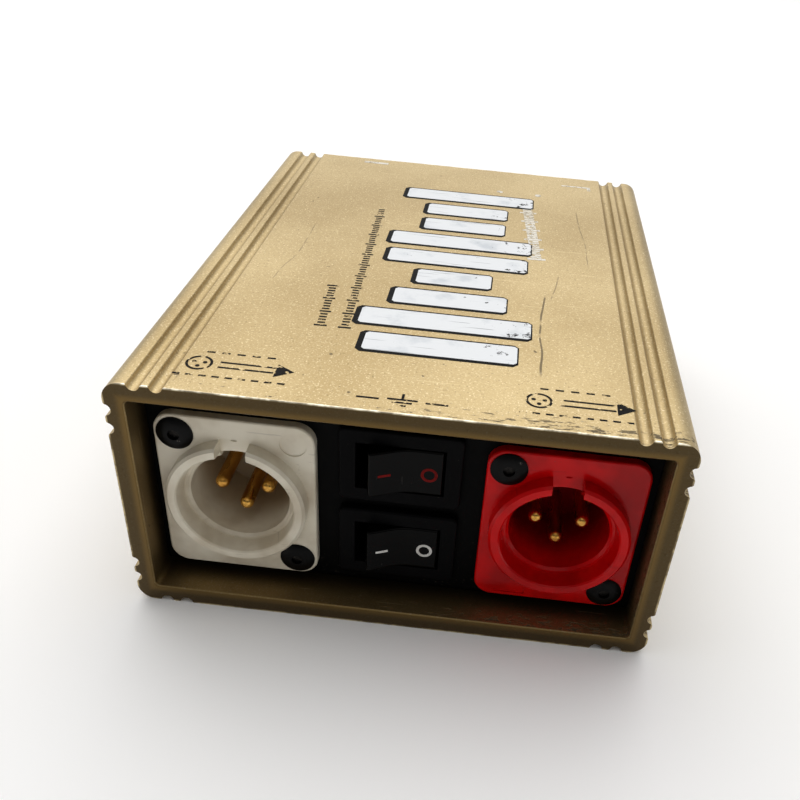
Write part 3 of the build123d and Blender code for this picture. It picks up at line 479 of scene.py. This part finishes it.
# Scales of fine ticks, every fifth one longer.
ticks = Pattern(
    "printed_ticks", Count=40, Pitch=1.0 * MM, Thickness=0.52 * MM, Height=1.3 * MM, Ink=INK
)
along = ticks.line(ticks["Count"], ticks["Pitch"])
number = ticks.node("GeometryNodeInputIndex")
fifth = number.maths("MODULO", 5.0).maths("LESS_THAN", 0.5)
size = ticks.point(ticks["Height"] * (1 + fifth * 0.7), ticks["Thickness"], ticks["Ink"])
block = ticks.node("GeometryNodeMeshCube", inputs={"Size": (1.0, 1.0, 1.0)})
stood = ticks.node(
    "GeometryNodeInstanceOnPoints", inputs={"Points": along, "Instance": block, "Scale": size}
)
ticks.end(stood)


def on_top(x_from, y_from, x_to, y_to):
    """Puts a row of ticks on the sleeve's top, so that it runs from one place to the other."""
    run = Vector((x_to - x_from, y_to - y_from, 0))
    turn = Vector((0, 1, 0)).rotation_difference(run).to_matrix().to_4x4()
    return Matrix.Translation((x_from * MM, y_from * MM, top + INK * 0.6)) @ turn


tick_pitch = 1.03 * MM
ticks.make(
    "scale_print_long", "case", "gold_anodised_aluminium", black_ink,
    on_top(-12.6, -33.0, -14.8, 23.1), Count=55, Pitch=tick_pitch,
)
ticks.make(
    "scale_print_short", "case", "gold_anodised_aluminium", black_ink,
    on_top(-16.7, -33.0, -17.6, -17.2), Count=16, Pitch=tick_pitch,
)
faded_ink = ink("faded_white_ink", colour(230, 227, 218), colour(212, 206, 192), 900, 0.51, 0.60)
ticks.make(
    "scale_print_white", "case", "gold_anodised_aluminium", faded_ink,
    on_top(19.6, 4.0, 17.2, 34.0), Count=30, Pitch=tick_pitch, Height=2.2 * MM,
    Thickness=0.8 * MM,
)


def slab(shape, outline, thickness, holes=()):
    """Adds a thin closed plate to a bmesh, from an outline and holes of (x, y) points."""
    loops = [list(outline)] + [list(hole) for hole in holes]
    edges = []
    for loop in loops:
        ring = [shape.verts.new((x, y, 0)) for x, y in loop]
        edges += [shape.edges.new(pair) for pair in zip(ring, ring[1:] + ring[:1])]
    filled = bmesh.ops.triangle_fill(shape, edges=edges, use_beauty=True)["geom"]
    faces = [item for item in filled if isinstance(item, bmesh.types.BMFace)]
    lifted = bmesh.ops.extrude_face_region(shape, geom=faces, use_keep_orig=True)["geom"]
    up = [item for item in lifted if isinstance(item, bmesh.types.BMVert)]
    bmesh.ops.translate(shape, verts=up, vec=(0, 0, thickness))


def rectangle(x, y, width, height):
    """The corners of a rectangle centred on (x, y)."""
    signs = ((-1, -1), (1, -1), (1, 1), (-1, 1))
    return [(x + sx * width / 2, y + sy * height / 2) for sx, sy in signs]


def disc(x, y, radius, count=28):
    """Points on a circle."""
    angles = [2 * pi * n / count for n in range(count)]
    return [(x + radius * cos(angle), y + radius * sin(angle)) for angle in angles]


STROKE = 0.42 * MM


def connector_mark(name, x, y):
    """Ink above a connector: its face with three pins, an arrow out of the box and a rule."""
    shape = bmesh.new()
    face_x, face_radius, pin_radius = x - 5.6 * MM, 2.1 * MM, 0.36 * MM
    inner_edge = disc(face_x, y, face_radius - STROKE)
    slab(shape, disc(face_x, y, face_radius), INK, [inner_edge])
    for px, py in ((-0.85, 0.25), (0.85, 0.25), (0, -0.9)):
        slab(shape, disc(face_x + px * MM, y + py * MM, pin_radius, 14), INK)
    for line in (-0.75, 0.75):
        slab(shape, rectangle(x + 1.8 * MM, y + line * MM, 8.6 * MM, STROKE), INK)
    arrow = [(6.3, -1.9), (9.2, 0), (6.3, 1.9)]
    slab(shape, [(x + ax * MM, y + ay * MM) for ax, ay in arrow], INK)
    for n in range(9):
        slab(shape, rectangle(x + (n * 2.0 - 8.0) * MM, y - 3.6 * MM, 1.15 * MM, STROKE), INK)
    for n in range(5):
        slab(shape, rectangle(x + (n * 2.4 - 4.8) * MM, y + 3.5 * MM, 1.3 * MM, STROKE), INK)
    bmesh.ops.translate(shape, verts=shape.verts, vec=(0, 0, print_level))
    piece(shape, name, "case", "gold_anodised_aluminium", black_ink)


connector_mark("connector_print_white", -26.5 * MM, -49.0 * MM)
connector_mark("connector_print_red", 26.0 * MM, -49.5 * MM)

# The earth sign over the switches, with a rule each side.
shape = bmesh.new()
earth_y = -53.4 * MM
for level, width in ((0.0, 4.6), (-0.8, 3.0), (-1.6, 1.4)):
    slab(shape, rectangle(0, earth_y + level * MM, width * MM, STROKE), INK)
slab(shape, rectangle(0, earth_y + 0.93 * MM, STROKE, 1.4 * MM), INK)
for side in (-1, 1):
    slab(shape, rectangle(side * 5.2 * MM, earth_y - 0.3 * MM, 3.4 * MM, STROKE), INK)
bmesh.ops.translate(shape, verts=shape.verts, vec=(0, 0, print_level))
piece(shape, "earth_print", "case", "gold_anodised_aluminium", black_ink)

# Remains of pale marks along the rear edge.
shape = bmesh.new()
slab(shape, rectangle(-21.0 * MM, 54.2 * MM, 6.0 * MM, 1.1 * MM), INK)
for x in (10.6, 19.7):
    slab(shape, disc(x * MM, 41.9 * MM, 0.75 * MM, 18), INK)
slab(shape, rectangle(29.0 * MM, 50.9 * MM, 7.0 * MM, 0.7 * MM), INK)
slab(shape, rectangle(32.1 * MM, 49.6 * MM, 0.8 * MM, 1.6 * MM), INK)
bmesh.ops.translate(shape, verts=shape.verts, vec=(0, 0, print_level))
piece(shape, "rear_edge_print", "case", "gold_anodised_aluminium", faded_ink)

# ---------------------------------------------------------------- tray
# One steel sheet folded up at both ends, with a satin black powder coat. Dust has settled
# in the coat's texture, more of it low down.
powder = Finish("black_powder_coat")
peel = powder.noise(1300, 2, 0.55)
low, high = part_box("tray")
settled = 1 - powder.step(powder.z - low.z, 0.0, 14 * MM)
dust = powder.step(powder.noise(2300, 3, 0.7, shift=0.2) + settled * 0.06, 0.66, 0.76)
dust = dust * powder.step(powder.noise(110, 2), 0.38, 0.62)
rubbed = powder.step(powder.noise(35, 4, 0.6, (1, 1, 6)), 0.62, 0.8)
tone = powder.mix(rubbed * 0.6, colour(4, 4, 4), colour(11, 10, 10))
tone = powder.mix(dust * 0.4, tone, colour(92, 86, 76))
powder.surface(
    Base_Color=tone,
    Specular_IOR_Level=0.05,
    Roughness=0.44 + peel * 0.2 + dust * 0.3,
    Normal=powder.bump(peel, 0.018 * MM),
)
coat(powder, "tray")


# ---------------------------------------------------------------- connector housings
# Glass-filled nylon mouldings, one ivory and one red. The flange is glossy with a fine
# moulded texture, the bore is duller and darkened with painted shade, and handling dirt
# sits in the corners.
def moulding(name, tone, deep, dirt_tone, dirt_share, gloss, shine):
    """A moulded housing's finish, duller in its bore and darkened there with painted shade."""
    made = Finish(name)
    ring_low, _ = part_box("connector_housing_white")
    depth = made.step(made.y - ring_low.y, 4.0 * MM, 14.0 * MM)
    flow = made.noise(140, 3, 0.5)
    fine = made.noise(2600, 2, 0.6, shift=0.2)
    grime = made.step(made.noise(880, 4, 0.7, shift=0.6), 0.63, 0.74)
    patch = made.step(made.noise(75, 3, shift=0.9), 0.42, 0.66)
    body_tone = made.mix(made.step(flow, 0.35, 0.7) * 0.5, tone, deep)
    # Painted shade: the bore darkens with depth, towards deep, which above also gives the flow
    # marks their darker tone.
    body_tone = made.mix(depth * 0.8, body_tone, deep)
    body_tone = made.mix(grime * patch * dirt_share, body_tone, dirt_tone)
    scuffs = made.step(made.noise(90, 3, 0.6, (1, 1, 14), shift=0.1), 0.66, 0.72) * 0.35
    body_tone = made.mix(scuffs * dirt_share, body_tone, dirt_tone)
    made.surface(
        Base_Color=body_tone,
        Roughness=gloss + fine * 0.12 + grime * patch * 0.25 + depth * 0.12,
        Normal=made.bump(fine + scuffs * 0.8, 0.003 * MM),
        Specular_IOR_Level=shine,
    )
    return made


ivory = moulding(
    "ivory_nylon", colour(234, 226, 206), colour(168, 146, 112), colour(92, 76, 52), 0.6, 0.26, 0.4
)
ruby = moulding(
    "red_nylon", colour(212, 5, 9), colour(112, 2, 4), colour(66, 8, 8), 0.5, 0.12, 0.16
)
coat(ivory, "connector_housing_white", "pin_carrier_white")
coat(ruby, "connector_housing_red", "pin_carrier_red")

# ---------------------------------------------------------------- contact pins
# Turned brass pins with a gold plate, polished by plugs along their sides and smeared.
plate = Finish("gold_plate")
swirl = plate.noise(240, 3, 0.55, (1, 0.25, 1))
ring_marks = plate.noise(900, 1, 0.4, (0.06, 1, 0.06), shift=0.3)
tone = plate.mix(plate.step(swirl, 0.4, 0.7), colour(222, 170, 84), colour(186, 132, 58))
tone = plate.mix(plate.step(plate.noise(1400, 3, 0.7), 0.66, 0.74) * 0.5, tone, colour(92, 62, 30))
plate.surface(
    Base_Color=tone,
    Metallic=1.0,
    Roughness=0.2 + swirl * 0.15,
    Normal=plate.bump(ring_marks, 0.01 * MM),
)
coat(plate, "contact_pins_white", "contact_pins_red")

# ---------------------------------------------------------------- flange rivets
# Blind rivets with black lacquered dome heads. The lacquer is chipped round the rim, and
# the snapped steel mandrel shows in the middle as a dark rough pit.
lacquer = Finish("black_lacquer")
orange = lacquer.noise(1600, 2)
chips = lacquer.step(lacquer.noise(1100, 4, 0.7, shift=0.45), 0.68, 0.72)
worn = lacquer.step(lacquer.noise(300, 3), 0.4, 0.7) * 0.7
tone = lacquer.mix(worn, colour(4, 4, 4), colour(11, 10, 10))
tone = lacquer.mix(chips, tone, colour(104, 100, 96))
lacquer.surface(
    Base_Color=tone,
    Specular_IOR_Level=0.1,
    Metallic=chips * 0.9,
    Roughness=0.3 + orange * 0.16,
    Normal=lacquer.bump(orange - chips, 0.012 * MM),
)
coat(lacquer, "flange_rivets")
snapped = Finish("snapped_steel")
torn = snapped.noise(2200, 4, 0.75)
tone = snapped.mix(snapped.step(torn, 0.35, 0.7), colour(22, 21, 21), colour(66, 62, 58))
snapped.surface(
    Base_Color=tone,
    Metallic=0.8,
    Roughness=0.5 + torn * 0.3,
    Normal=snapped.bump(torn, 0.06 * MM),
)
coat(snapped, "rivet_mandrels")

# ---------------------------------------------------------------- rocker switches
# Black nylon frames with a fine spark-eroded texture, snapped into the panel, and glossy
# black rockers. Each rocker carries a pad-printed dash and ring, white on the lower one
# and dim red on the upper one.
textured = Finish("black_textured_nylon")
spark = textured.noise(2000, 3, 0.7)
lint = textured.step(textured.noise(1500, 4, 0.7, shift=0.5), 0.69, 0.74)
clouding = textured.step(textured.noise(85, 3), 0.4, 0.7)
tone = textured.mix(clouding, colour(3, 3, 4), colour(8, 8, 9))
tone = textured.mix(lint * 0.4, tone, colour(92, 86, 78))
textured.surface(
    Base_Color=tone,
    Specular_IOR_Level=0.05,
    Roughness=0.40 + spark * 0.2,
    Normal=textured.bump(spark, 0.02 * MM),
)
coat(textured, "switch_frame_upper", "switch_frame_lower")

glossy = Finish("black_glossy_nylon")
print_smear = glossy.step(glossy.noise(130, 4, 0.6, (1, 1, 1.6)), 0.45, 0.7)
fine = glossy.noise(2400, 2, 0.6)
swipes = glossy.step(glossy.noise(150, 3, 0.6, (9, 1, 1), shift=0.2), 0.68, 0.72)
tone = glossy.mix(print_smear * 0.5, colour(3, 3, 3), colour(7, 7, 8))
tone = glossy.mix(swipes * 0.2, tone, colour(74, 72, 70))
glossy.surface(
    Base_Color=tone,
    Specular_IOR_Level=0.08,
    Roughness=0.16 + print_smear * 0.16 + swipes * 0.2,
    Normal=glossy.bump(fine * 0.5 - swipes, 0.005 * MM),
)
coat(glossy, "rocker_upper", "rocker_lower")

REST_TILT = radians(12.0)
FACE_DEPTH = 4.1247 * MM
MARK_DROP = 0.28 * MM
mark_inks = {
    "lower": ink("white_pad_print", colour(232, 232, 228), colour(206, 204, 198), 1300, 0.66, 0.72),
    "upper": ink("red_pad_print", colour(122, 20, 18), colour(88, 14, 12), 1300, 0.64, 0.70),
}
hinges = {joint["name"]: Vector(joint["pos_m"]) for joint in frame["joints"]}


def on_rocker(hinge, side, reach):
    """The place of a mark on one half of a rocker's face: x runs along it, y up, z out of it."""
    lean = REST_TILT - side * REST_TILT
    valley = hinge + Vector((sin(REST_TILT), -cos(REST_TILT), 0)) * FACE_DEPTH
    tangent = Vector((cos(lean), sin(lean), 0))
    outward = Vector((sin(lean), -cos(lean), 0))
    spot = valley + tangent * side * reach + outward * 0.012 * MM - Vector((0, 0, MARK_DROP))
    turn = Matrix((tangent, (0, 0, 1), outward)).transposed().to_4x4()
    return Matrix.Translation(spot) @ turn


for level, mark_ink in mark_inks.items():
    hinge = hinges[f"rocker_{level}_tilt"]
    shape = bmesh.new()
    slab(shape, rectangle(0, 0, 2.1 * MM, 0.45 * MM), INK)
    bmesh.ops.transform(shape, matrix=on_rocker(hinge, -1, 3.5 * MM), verts=shape.verts)
    piece(shape, f"rocker_dash_{level}", f"rocker_{level}", "black_rocker", mark_ink)
    shape = bmesh.new()
    slab(shape, disc(0, 0, 1.37 * MM, 40), INK, [disc(0, 0, 0.89 * MM, 40)])
    bmesh.ops.transform(shape, matrix=on_rocker(hinge, 1, 3.85 * MM), verts=shape.verts)
    piece(shape, f"rocker_ring_{level}", f"rocker_{level}", "black_rocker", mark_ink)

# Inside each switch: a nylon plunger, its spring, a see-saw contact and two blades.
nylon = Finish("natural_nylon")
milky = nylon.noise(300, 3)
tone = nylon.mix(milky, colour(226, 222, 208), colour(204, 198, 180))
nylon.surface(Base_Color=tone, Roughness=0.38 + milky * 0.15, Normal=nylon.bump(milky, 0.01 * MM))
coat(nylon, "plunger_upper", "plunger_lower")

spring_wire = Finish("drawn_spring_wire")
drawn = spring_wire.noise(1500, 2, 0.5, (1, 0.2, 1))
tone = spring_wire.mix(drawn, colour(150, 150, 152), colour(196, 196, 198))
spring_wire.surface(
    Base_Color=tone,
    Metallic=1.0,
    Roughness=0.25 + drawn * 0.2,
    Normal=spring_wire.bump(drawn, 0.004 * MM),
)
coat(spring_wire, "rocker_spring_upper", "rocker_spring_lower")

brass = Finish("stamped_brass")
rolled = brass.noise(260, 3, 0.6, (0.2, 0.2, 6))
tarnish = brass.step(brass.noise(320, 4, 0.6, shift=0.3), 0.5, 0.75)
tone = brass.mix(rolled, colour(206, 168, 96), colour(184, 146, 78))
tone = brass.mix(tarnish * 0.6, tone, colour(128, 92, 48))
brass.surface(
    Base_Color=tone,
    Metallic=1.0,
    Roughness=0.28 + tarnish * 0.25,
    Normal=brass.bump(rolled, 0.006 * MM),
)
coat(
    brass, "contact_arm_upper", "contact_arm_lower", "switch_terminals_upper",
    "switch_terminals_lower", "phono_contact_white", "phono_contact_red",
)

# ---------------------------------------------------------------- case screws and clinch nuts
# Countersunk steel screws up through the sleeve's floor into nuts clinched in the tray, and
# the board's pillars and screws: all zinc plated, with the plate's faint rainbow.
zinc = Finish("zinc_plate")
turned = zinc.noise(700, 2, 0.5, (1, 1, 0.3))
haze = zinc.noise(150, 3, shift=0.2)
tone = zinc.mix(zinc.step(haze, 0.35, 0.65), colour(176, 180, 190), colour(198, 190, 168))
tone = zinc.mix(zinc.step(zinc.noise(900, 4, 0.7), 0.64, 0.72) * 0.6, tone, colour(86, 80, 72))
zinc.surface(
    Base_Color=tone,
    Metallic=1.0,
    Roughness=0.3 + turned * 0.2,
    Normal=zinc.bump(turned, 0.008 * MM),
)
coat(zinc, "case_screws", "clinch_nuts", "board_screws", "board_spacers")

# ---------------------------------------------------------------- rear jacks
# Nickel-plated brass: the mini jack's threaded bushing and its nut, and two phono sockets
# with hexagonal shoulders, held by nuts over ground tags inside the panel.
nickel = Finish("nickel_plate")
lathe = nickel.noise(800, 2, 0.5, (0.1, 1, 0.1))
bloom = nickel.step(nickel.noise(190, 4, 0.6), 0.48, 0.72)
tone = nickel.mix(bloom * 0.7, colour(206, 203, 194), colour(168, 160, 142))
spots = nickel.step(nickel.noise(1200, 3, 0.7, shift=0.6), 0.67, 0.73)
tone = nickel.mix(spots * 0.5, tone, colour(98, 86, 70))
nickel.surface(
    Base_Color=tone,
    Metallic=1.0,
    Roughness=0.17 + bloom * 0.18,
    Normal=nickel.bump(lathe, 0.006 * MM),
)
coat(
    nickel, "minijack_bushing", "minijack_nut", "minijack_lugs", "phono_barrel_white",
    "phono_barrel_red", "phono_nuts", "phono_ground_tags",
)


def insulator(name, tone, deep):
    """A turned or moulded plastic ring with a satin face."""
    made = Finish(name)
    swirl = made.noise(420, 3, 0.55)
    speck = made.step(made.noise(1500, 3, 0.7, shift=0.3), 0.66, 0.72)
    body_tone = made.mix(swirl, tone, deep)
    body_tone = made.mix(speck * 0.4, body_tone, colour(84, 74, 62))
    relief = made.bump(swirl, 0.008 * MM)
    made.surface(Base_Color=body_tone, Roughness=0.3 + swirl * 0.15, Normal=relief)
    return made


white_ring = insulator("white_insulator", colour(232, 230, 224), colour(214, 208, 196))
coat(white_ring, "phono_insulator_white")
red_ring = insulator("red_insulator", colour(186, 24, 24), colour(150, 12, 14))
coat(red_ring, "phono_insulator_red")
jack_black = insulator("black_jack_body", colour(20, 20, 21), colour(34, 34, 35))
coat(jack_black, "minijack_body")

# Thread crests on the bushing's free end, one ring each.
crests = Pattern("thread_crests", Count=4, Pitch=0.5 * MM, Radius=3.0 * MM, Crest=0.13 * MM)
ring = crests.node(
    "GeometryNodeCurvePrimitiveCircle", inputs={"Resolution": 48, "Radius": crests["Radius"]}
)
ridge = crests.node(
    "GeometryNodeCurvePrimitiveCircle", inputs={"Resolution": 6, "Radius": crests["Crest"]}
)
hoop = crests.node("GeometryNodeCurveToMesh", inputs={"Curve": ring, "Profile Curve": ridge})
upright = crests.node(
    "GeometryNodeTransform", inputs={"Geometry": hoop, "Rotation": (pi / 2, 0, 0)}
)
along = crests.line(crests["Count"], crests["Pitch"])
crests.end(
    crests.node("GeometryNodeInstanceOnPoints", inputs={"Points": along, "Instance": upright})
)
bushing_low, bushing_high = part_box("minijack_bushing")
_, nut_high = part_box("minijack_nut")
bushing_axis = (bushing_low + bushing_high) / 2
thread_start = nut_high.y + 0.35 * MM
crests.make(
    "minijack_thread", "case", "nickel_plate", nickel,
    Matrix.Translation((bushing_axis.x, thread_start, bushing_axis.z)),
)

# ---------------------------------------------------------------- circuit board
# Green solder-masked laminate. Copper tracks show as paler lines under the mask.
laminate = Finish("green_solder_mask")
weave = laminate.noise(1100, 2, 0.5, (1, 1, 0.1))
lane = (laminate.x * 260).maths("FRACT")
row = (laminate.y * 180).maths("FRACT")
bend = laminate.step(laminate.noise(55, 1), 0.47, 0.5)
track = laminate.step(lane, 0.62, 0.66) * bend + laminate.step(row, 0.62, 0.66) * (1 - bend)
tone = laminate.mix(weave * 0.6, colour(14, 70, 38), colour(20, 86, 48))
tone = laminate.mix(track * 0.55, tone, colour(46, 124, 70))
laminate.surface(
    Base_Color=tone, Roughness=0.28 + weave * 0.15, Normal=laminate.bump(track, 0.03 * MM)
)
coat(laminate, "circuit_board")

# Pad resistors: pale blue lacquer with four colour bands, on tinned legs.
banded = Finish("banded_resistor")
inner, outer = 9.0 * MM, 22.0 * MM
along = abs(abs(banded.x) - inner).maths("MINIMUM", abs(abs(banded.x) - outer))
body_part = 1 - banded.step(along, 3.10 * MM, 3.16 * MM)
glaze = banded.noise(500, 2)
tone = banded.mix(glaze, colour(96, 160, 186), colour(120, 178, 200))
for place, band in (
    (0.3, (70, 36, 20)),
    (1.1, (20, 20, 20)),
    (1.9, (190, 120, 20)),
    (2.6, (150, 30, 24)),
):
    stripe = 1 - banded.step(abs(along - place * MM), 0.16 * MM, 0.22 * MM)
    tone = banded.mix(stripe, tone, colour(*band))
tone = banded.mix(body_part, colour(190, 190, 194), tone)
banded.surface(
    Base_Color=tone,
    Metallic=1 - body_part,
    Roughness=0.25 + glaze * 0.15,
    Normal=banded.bump(glaze, 0.01 * MM),
)
coat(banded, "pad_resistors")

dipped = Finish("dipped_film_capacitor")
glaze = dipped.noise(240, 3)
tone = dipped.mix(glaze, colour(140, 36, 22), colour(168, 52, 30))
dipped.surface(Base_Color=tone, Roughness=0.22 + glaze * 0.15, Normal=dipped.bump(glaze, 0.05 * MM))
coat(dipped, "lift_capacitors")

# ---------------------------------------------------------------- transformers
# Drawn nickel-iron cans over laminated cores. The copper is wound in close turns on a
# black bobbin that stands on two moulded feet.
can_metal = Finish("annealed_can")
draw = can_metal.noise(120, 3, 0.6, (1, 1, 0.15))
tint = can_metal.noise(60, 3, shift=0.4)
tone = can_metal.mix(tint, colour(160, 158, 156), colour(142, 136, 128))
can_metal.surface(
    Base_Color=tone,
    Metallic=1.0,
    Roughness=0.34 + draw * 0.2,
    Normal=can_metal.bump(draw, 0.015 * MM),
)
coat(can_metal, "transformer_can_left", "transformer_can_right")

lamination = Finish("core_laminations")
leaf = abs((lamination.y * 2000).maths("FRACT") - 0.5) * 2
tone = lamination.mix(leaf, colour(66, 66, 70), colour(104, 104, 108))
lamination.surface(
    Base_Color=tone,
    Metallic=0.9,
    Roughness=0.45 + leaf * 0.1,
    Normal=lamination.bump(leaf, 0.05 * MM),
)
coat(lamination, "transformer_core_left", "transformer_core_right")

phenolic = Finish("black_phenolic")
matt = phenolic.noise(900, 3)
tone = phenolic.mix(matt, colour(24, 23, 24), colour(40, 38, 38))
phenolic.surface(Base_Color=tone, Roughness=0.5 + matt * 0.2, Normal=phenolic.bump(matt, 0.02 * MM))
coat(phenolic, "transformer_bobbin_left", "transformer_bobbin_right", "transformer_feet")

copper = Finish("enamelled_copper")
wound = copper.noise(340, 3, 0.5, (1, 1, 5))
tone = copper.mix(wound, colour(196, 104, 52), colour(160, 74, 34))
copper.surface(
    Base_Color=tone,
    Metallic=0.9,
    Roughness=0.24 + wound * 0.15,
    Normal=copper.bump(wound, 0.02 * MM),
)
coat(copper, "transformer_winding_left", "transformer_winding_right")

turn_pitch = 0.34 * MM
turns = Pattern(
    "winding_turns", Count=24, Pitch=turn_pitch, Width=12.9 * MM, Depth=19.2 * MM,
    Corner=1.0 * MM, Wire=0.16 * MM,
)
path = turns.node(
    "GeometryNodeCurvePrimitiveQuadrilateral",
    inputs={"Width": turns["Width"], "Height": turns["Depth"]},
)
path = turns.node("GeometryNodeFilletCurve", inputs={"Curve": path, "Radius": turns["Corner"]})
wire = turns.node(
    "GeometryNodeCurvePrimitiveCircle", inputs={"Resolution": 8, "Radius": turns["Wire"]}
)
loop = turns.node("GeometryNodeCurveToMesh", inputs={"Curve": path, "Profile Curve": wire})
stack = turns.node(
    "GeometryNodeMeshLine",
    inputs={"Count": turns["Count"], "Offset": turns.point(0, 0, turns["Pitch"])},
)
turns.end(turns.node("GeometryNodeInstanceOnPoints", inputs={"Points": stack, "Instance": loop}))
turn_inset = 0.24 * MM
for side in ("left", "right"):
    low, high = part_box(f"transformer_winding_{side}")
    middle = (low + high) / 2
    count = int((high.z - low.z) / turn_pitch) - 1
    start = middle.z - (count - 1) * turn_pitch / 2
    turns.make(
        f"winding_turns_{side}", "case", "winding_copper", copper,
        Matrix.Translation((middle.x, middle.y, start)),
        Count=count, Width=high.x - low.x - turn_inset, Depth=high.y - low.y - turn_inset,
    )


# ---------------------------------------------------------------- wires
# Hook-up wire from every connector, switch and jack to the board. In each group the
# insulation changes colour from one side to the other.
def sleeving(name, middle, first, centre, last):
    """Wire insulation in three colours, by the wire's place either side of middle."""
    made = Finish(name)
    dull = made.noise(650, 2)
    side = made.x - middle
    tone = made.mix(made.step(side, -1.1 * MM, -1.0 * MM), first, centre)
    tone = made.mix(made.step(side, 1.0 * MM, 1.1 * MM), tone, last)
    tone = made.mix(dull * 0.3, tone, colour(60, 58, 56))
    made.surface(Base_Color=tone, Roughness=0.4 + dull * 0.15, Normal=made.bump(dull, 0.01 * MM))
    return made


red, grey = colour(168, 26, 24), colour(120, 120, 122)
pale, dark = colour(222, 220, 214), colour(24, 24, 25)
for channel in ("white", "red"):
    low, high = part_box(f"output_wires_{channel}")
    trio = sleeving(f"output_sleeving_{channel}", (low.x + high.x) / 2, red, grey, pale)
    coat(trio, f"output_wires_{channel}")
low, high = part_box("minijack_wires")
coat(sleeving("minijack_sleeving", (low.x + high.x) / 2, red, dark, pale), "minijack_wires")
coat(sleeving("switch_sleeving", 2.0 * MM, dark, dark, grey), "switch_wires")
low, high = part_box("phono_wires")
coat(sleeving("phono_sleeving", (low.x + high.x) / 2, pale, dark, red), "phono_wires")
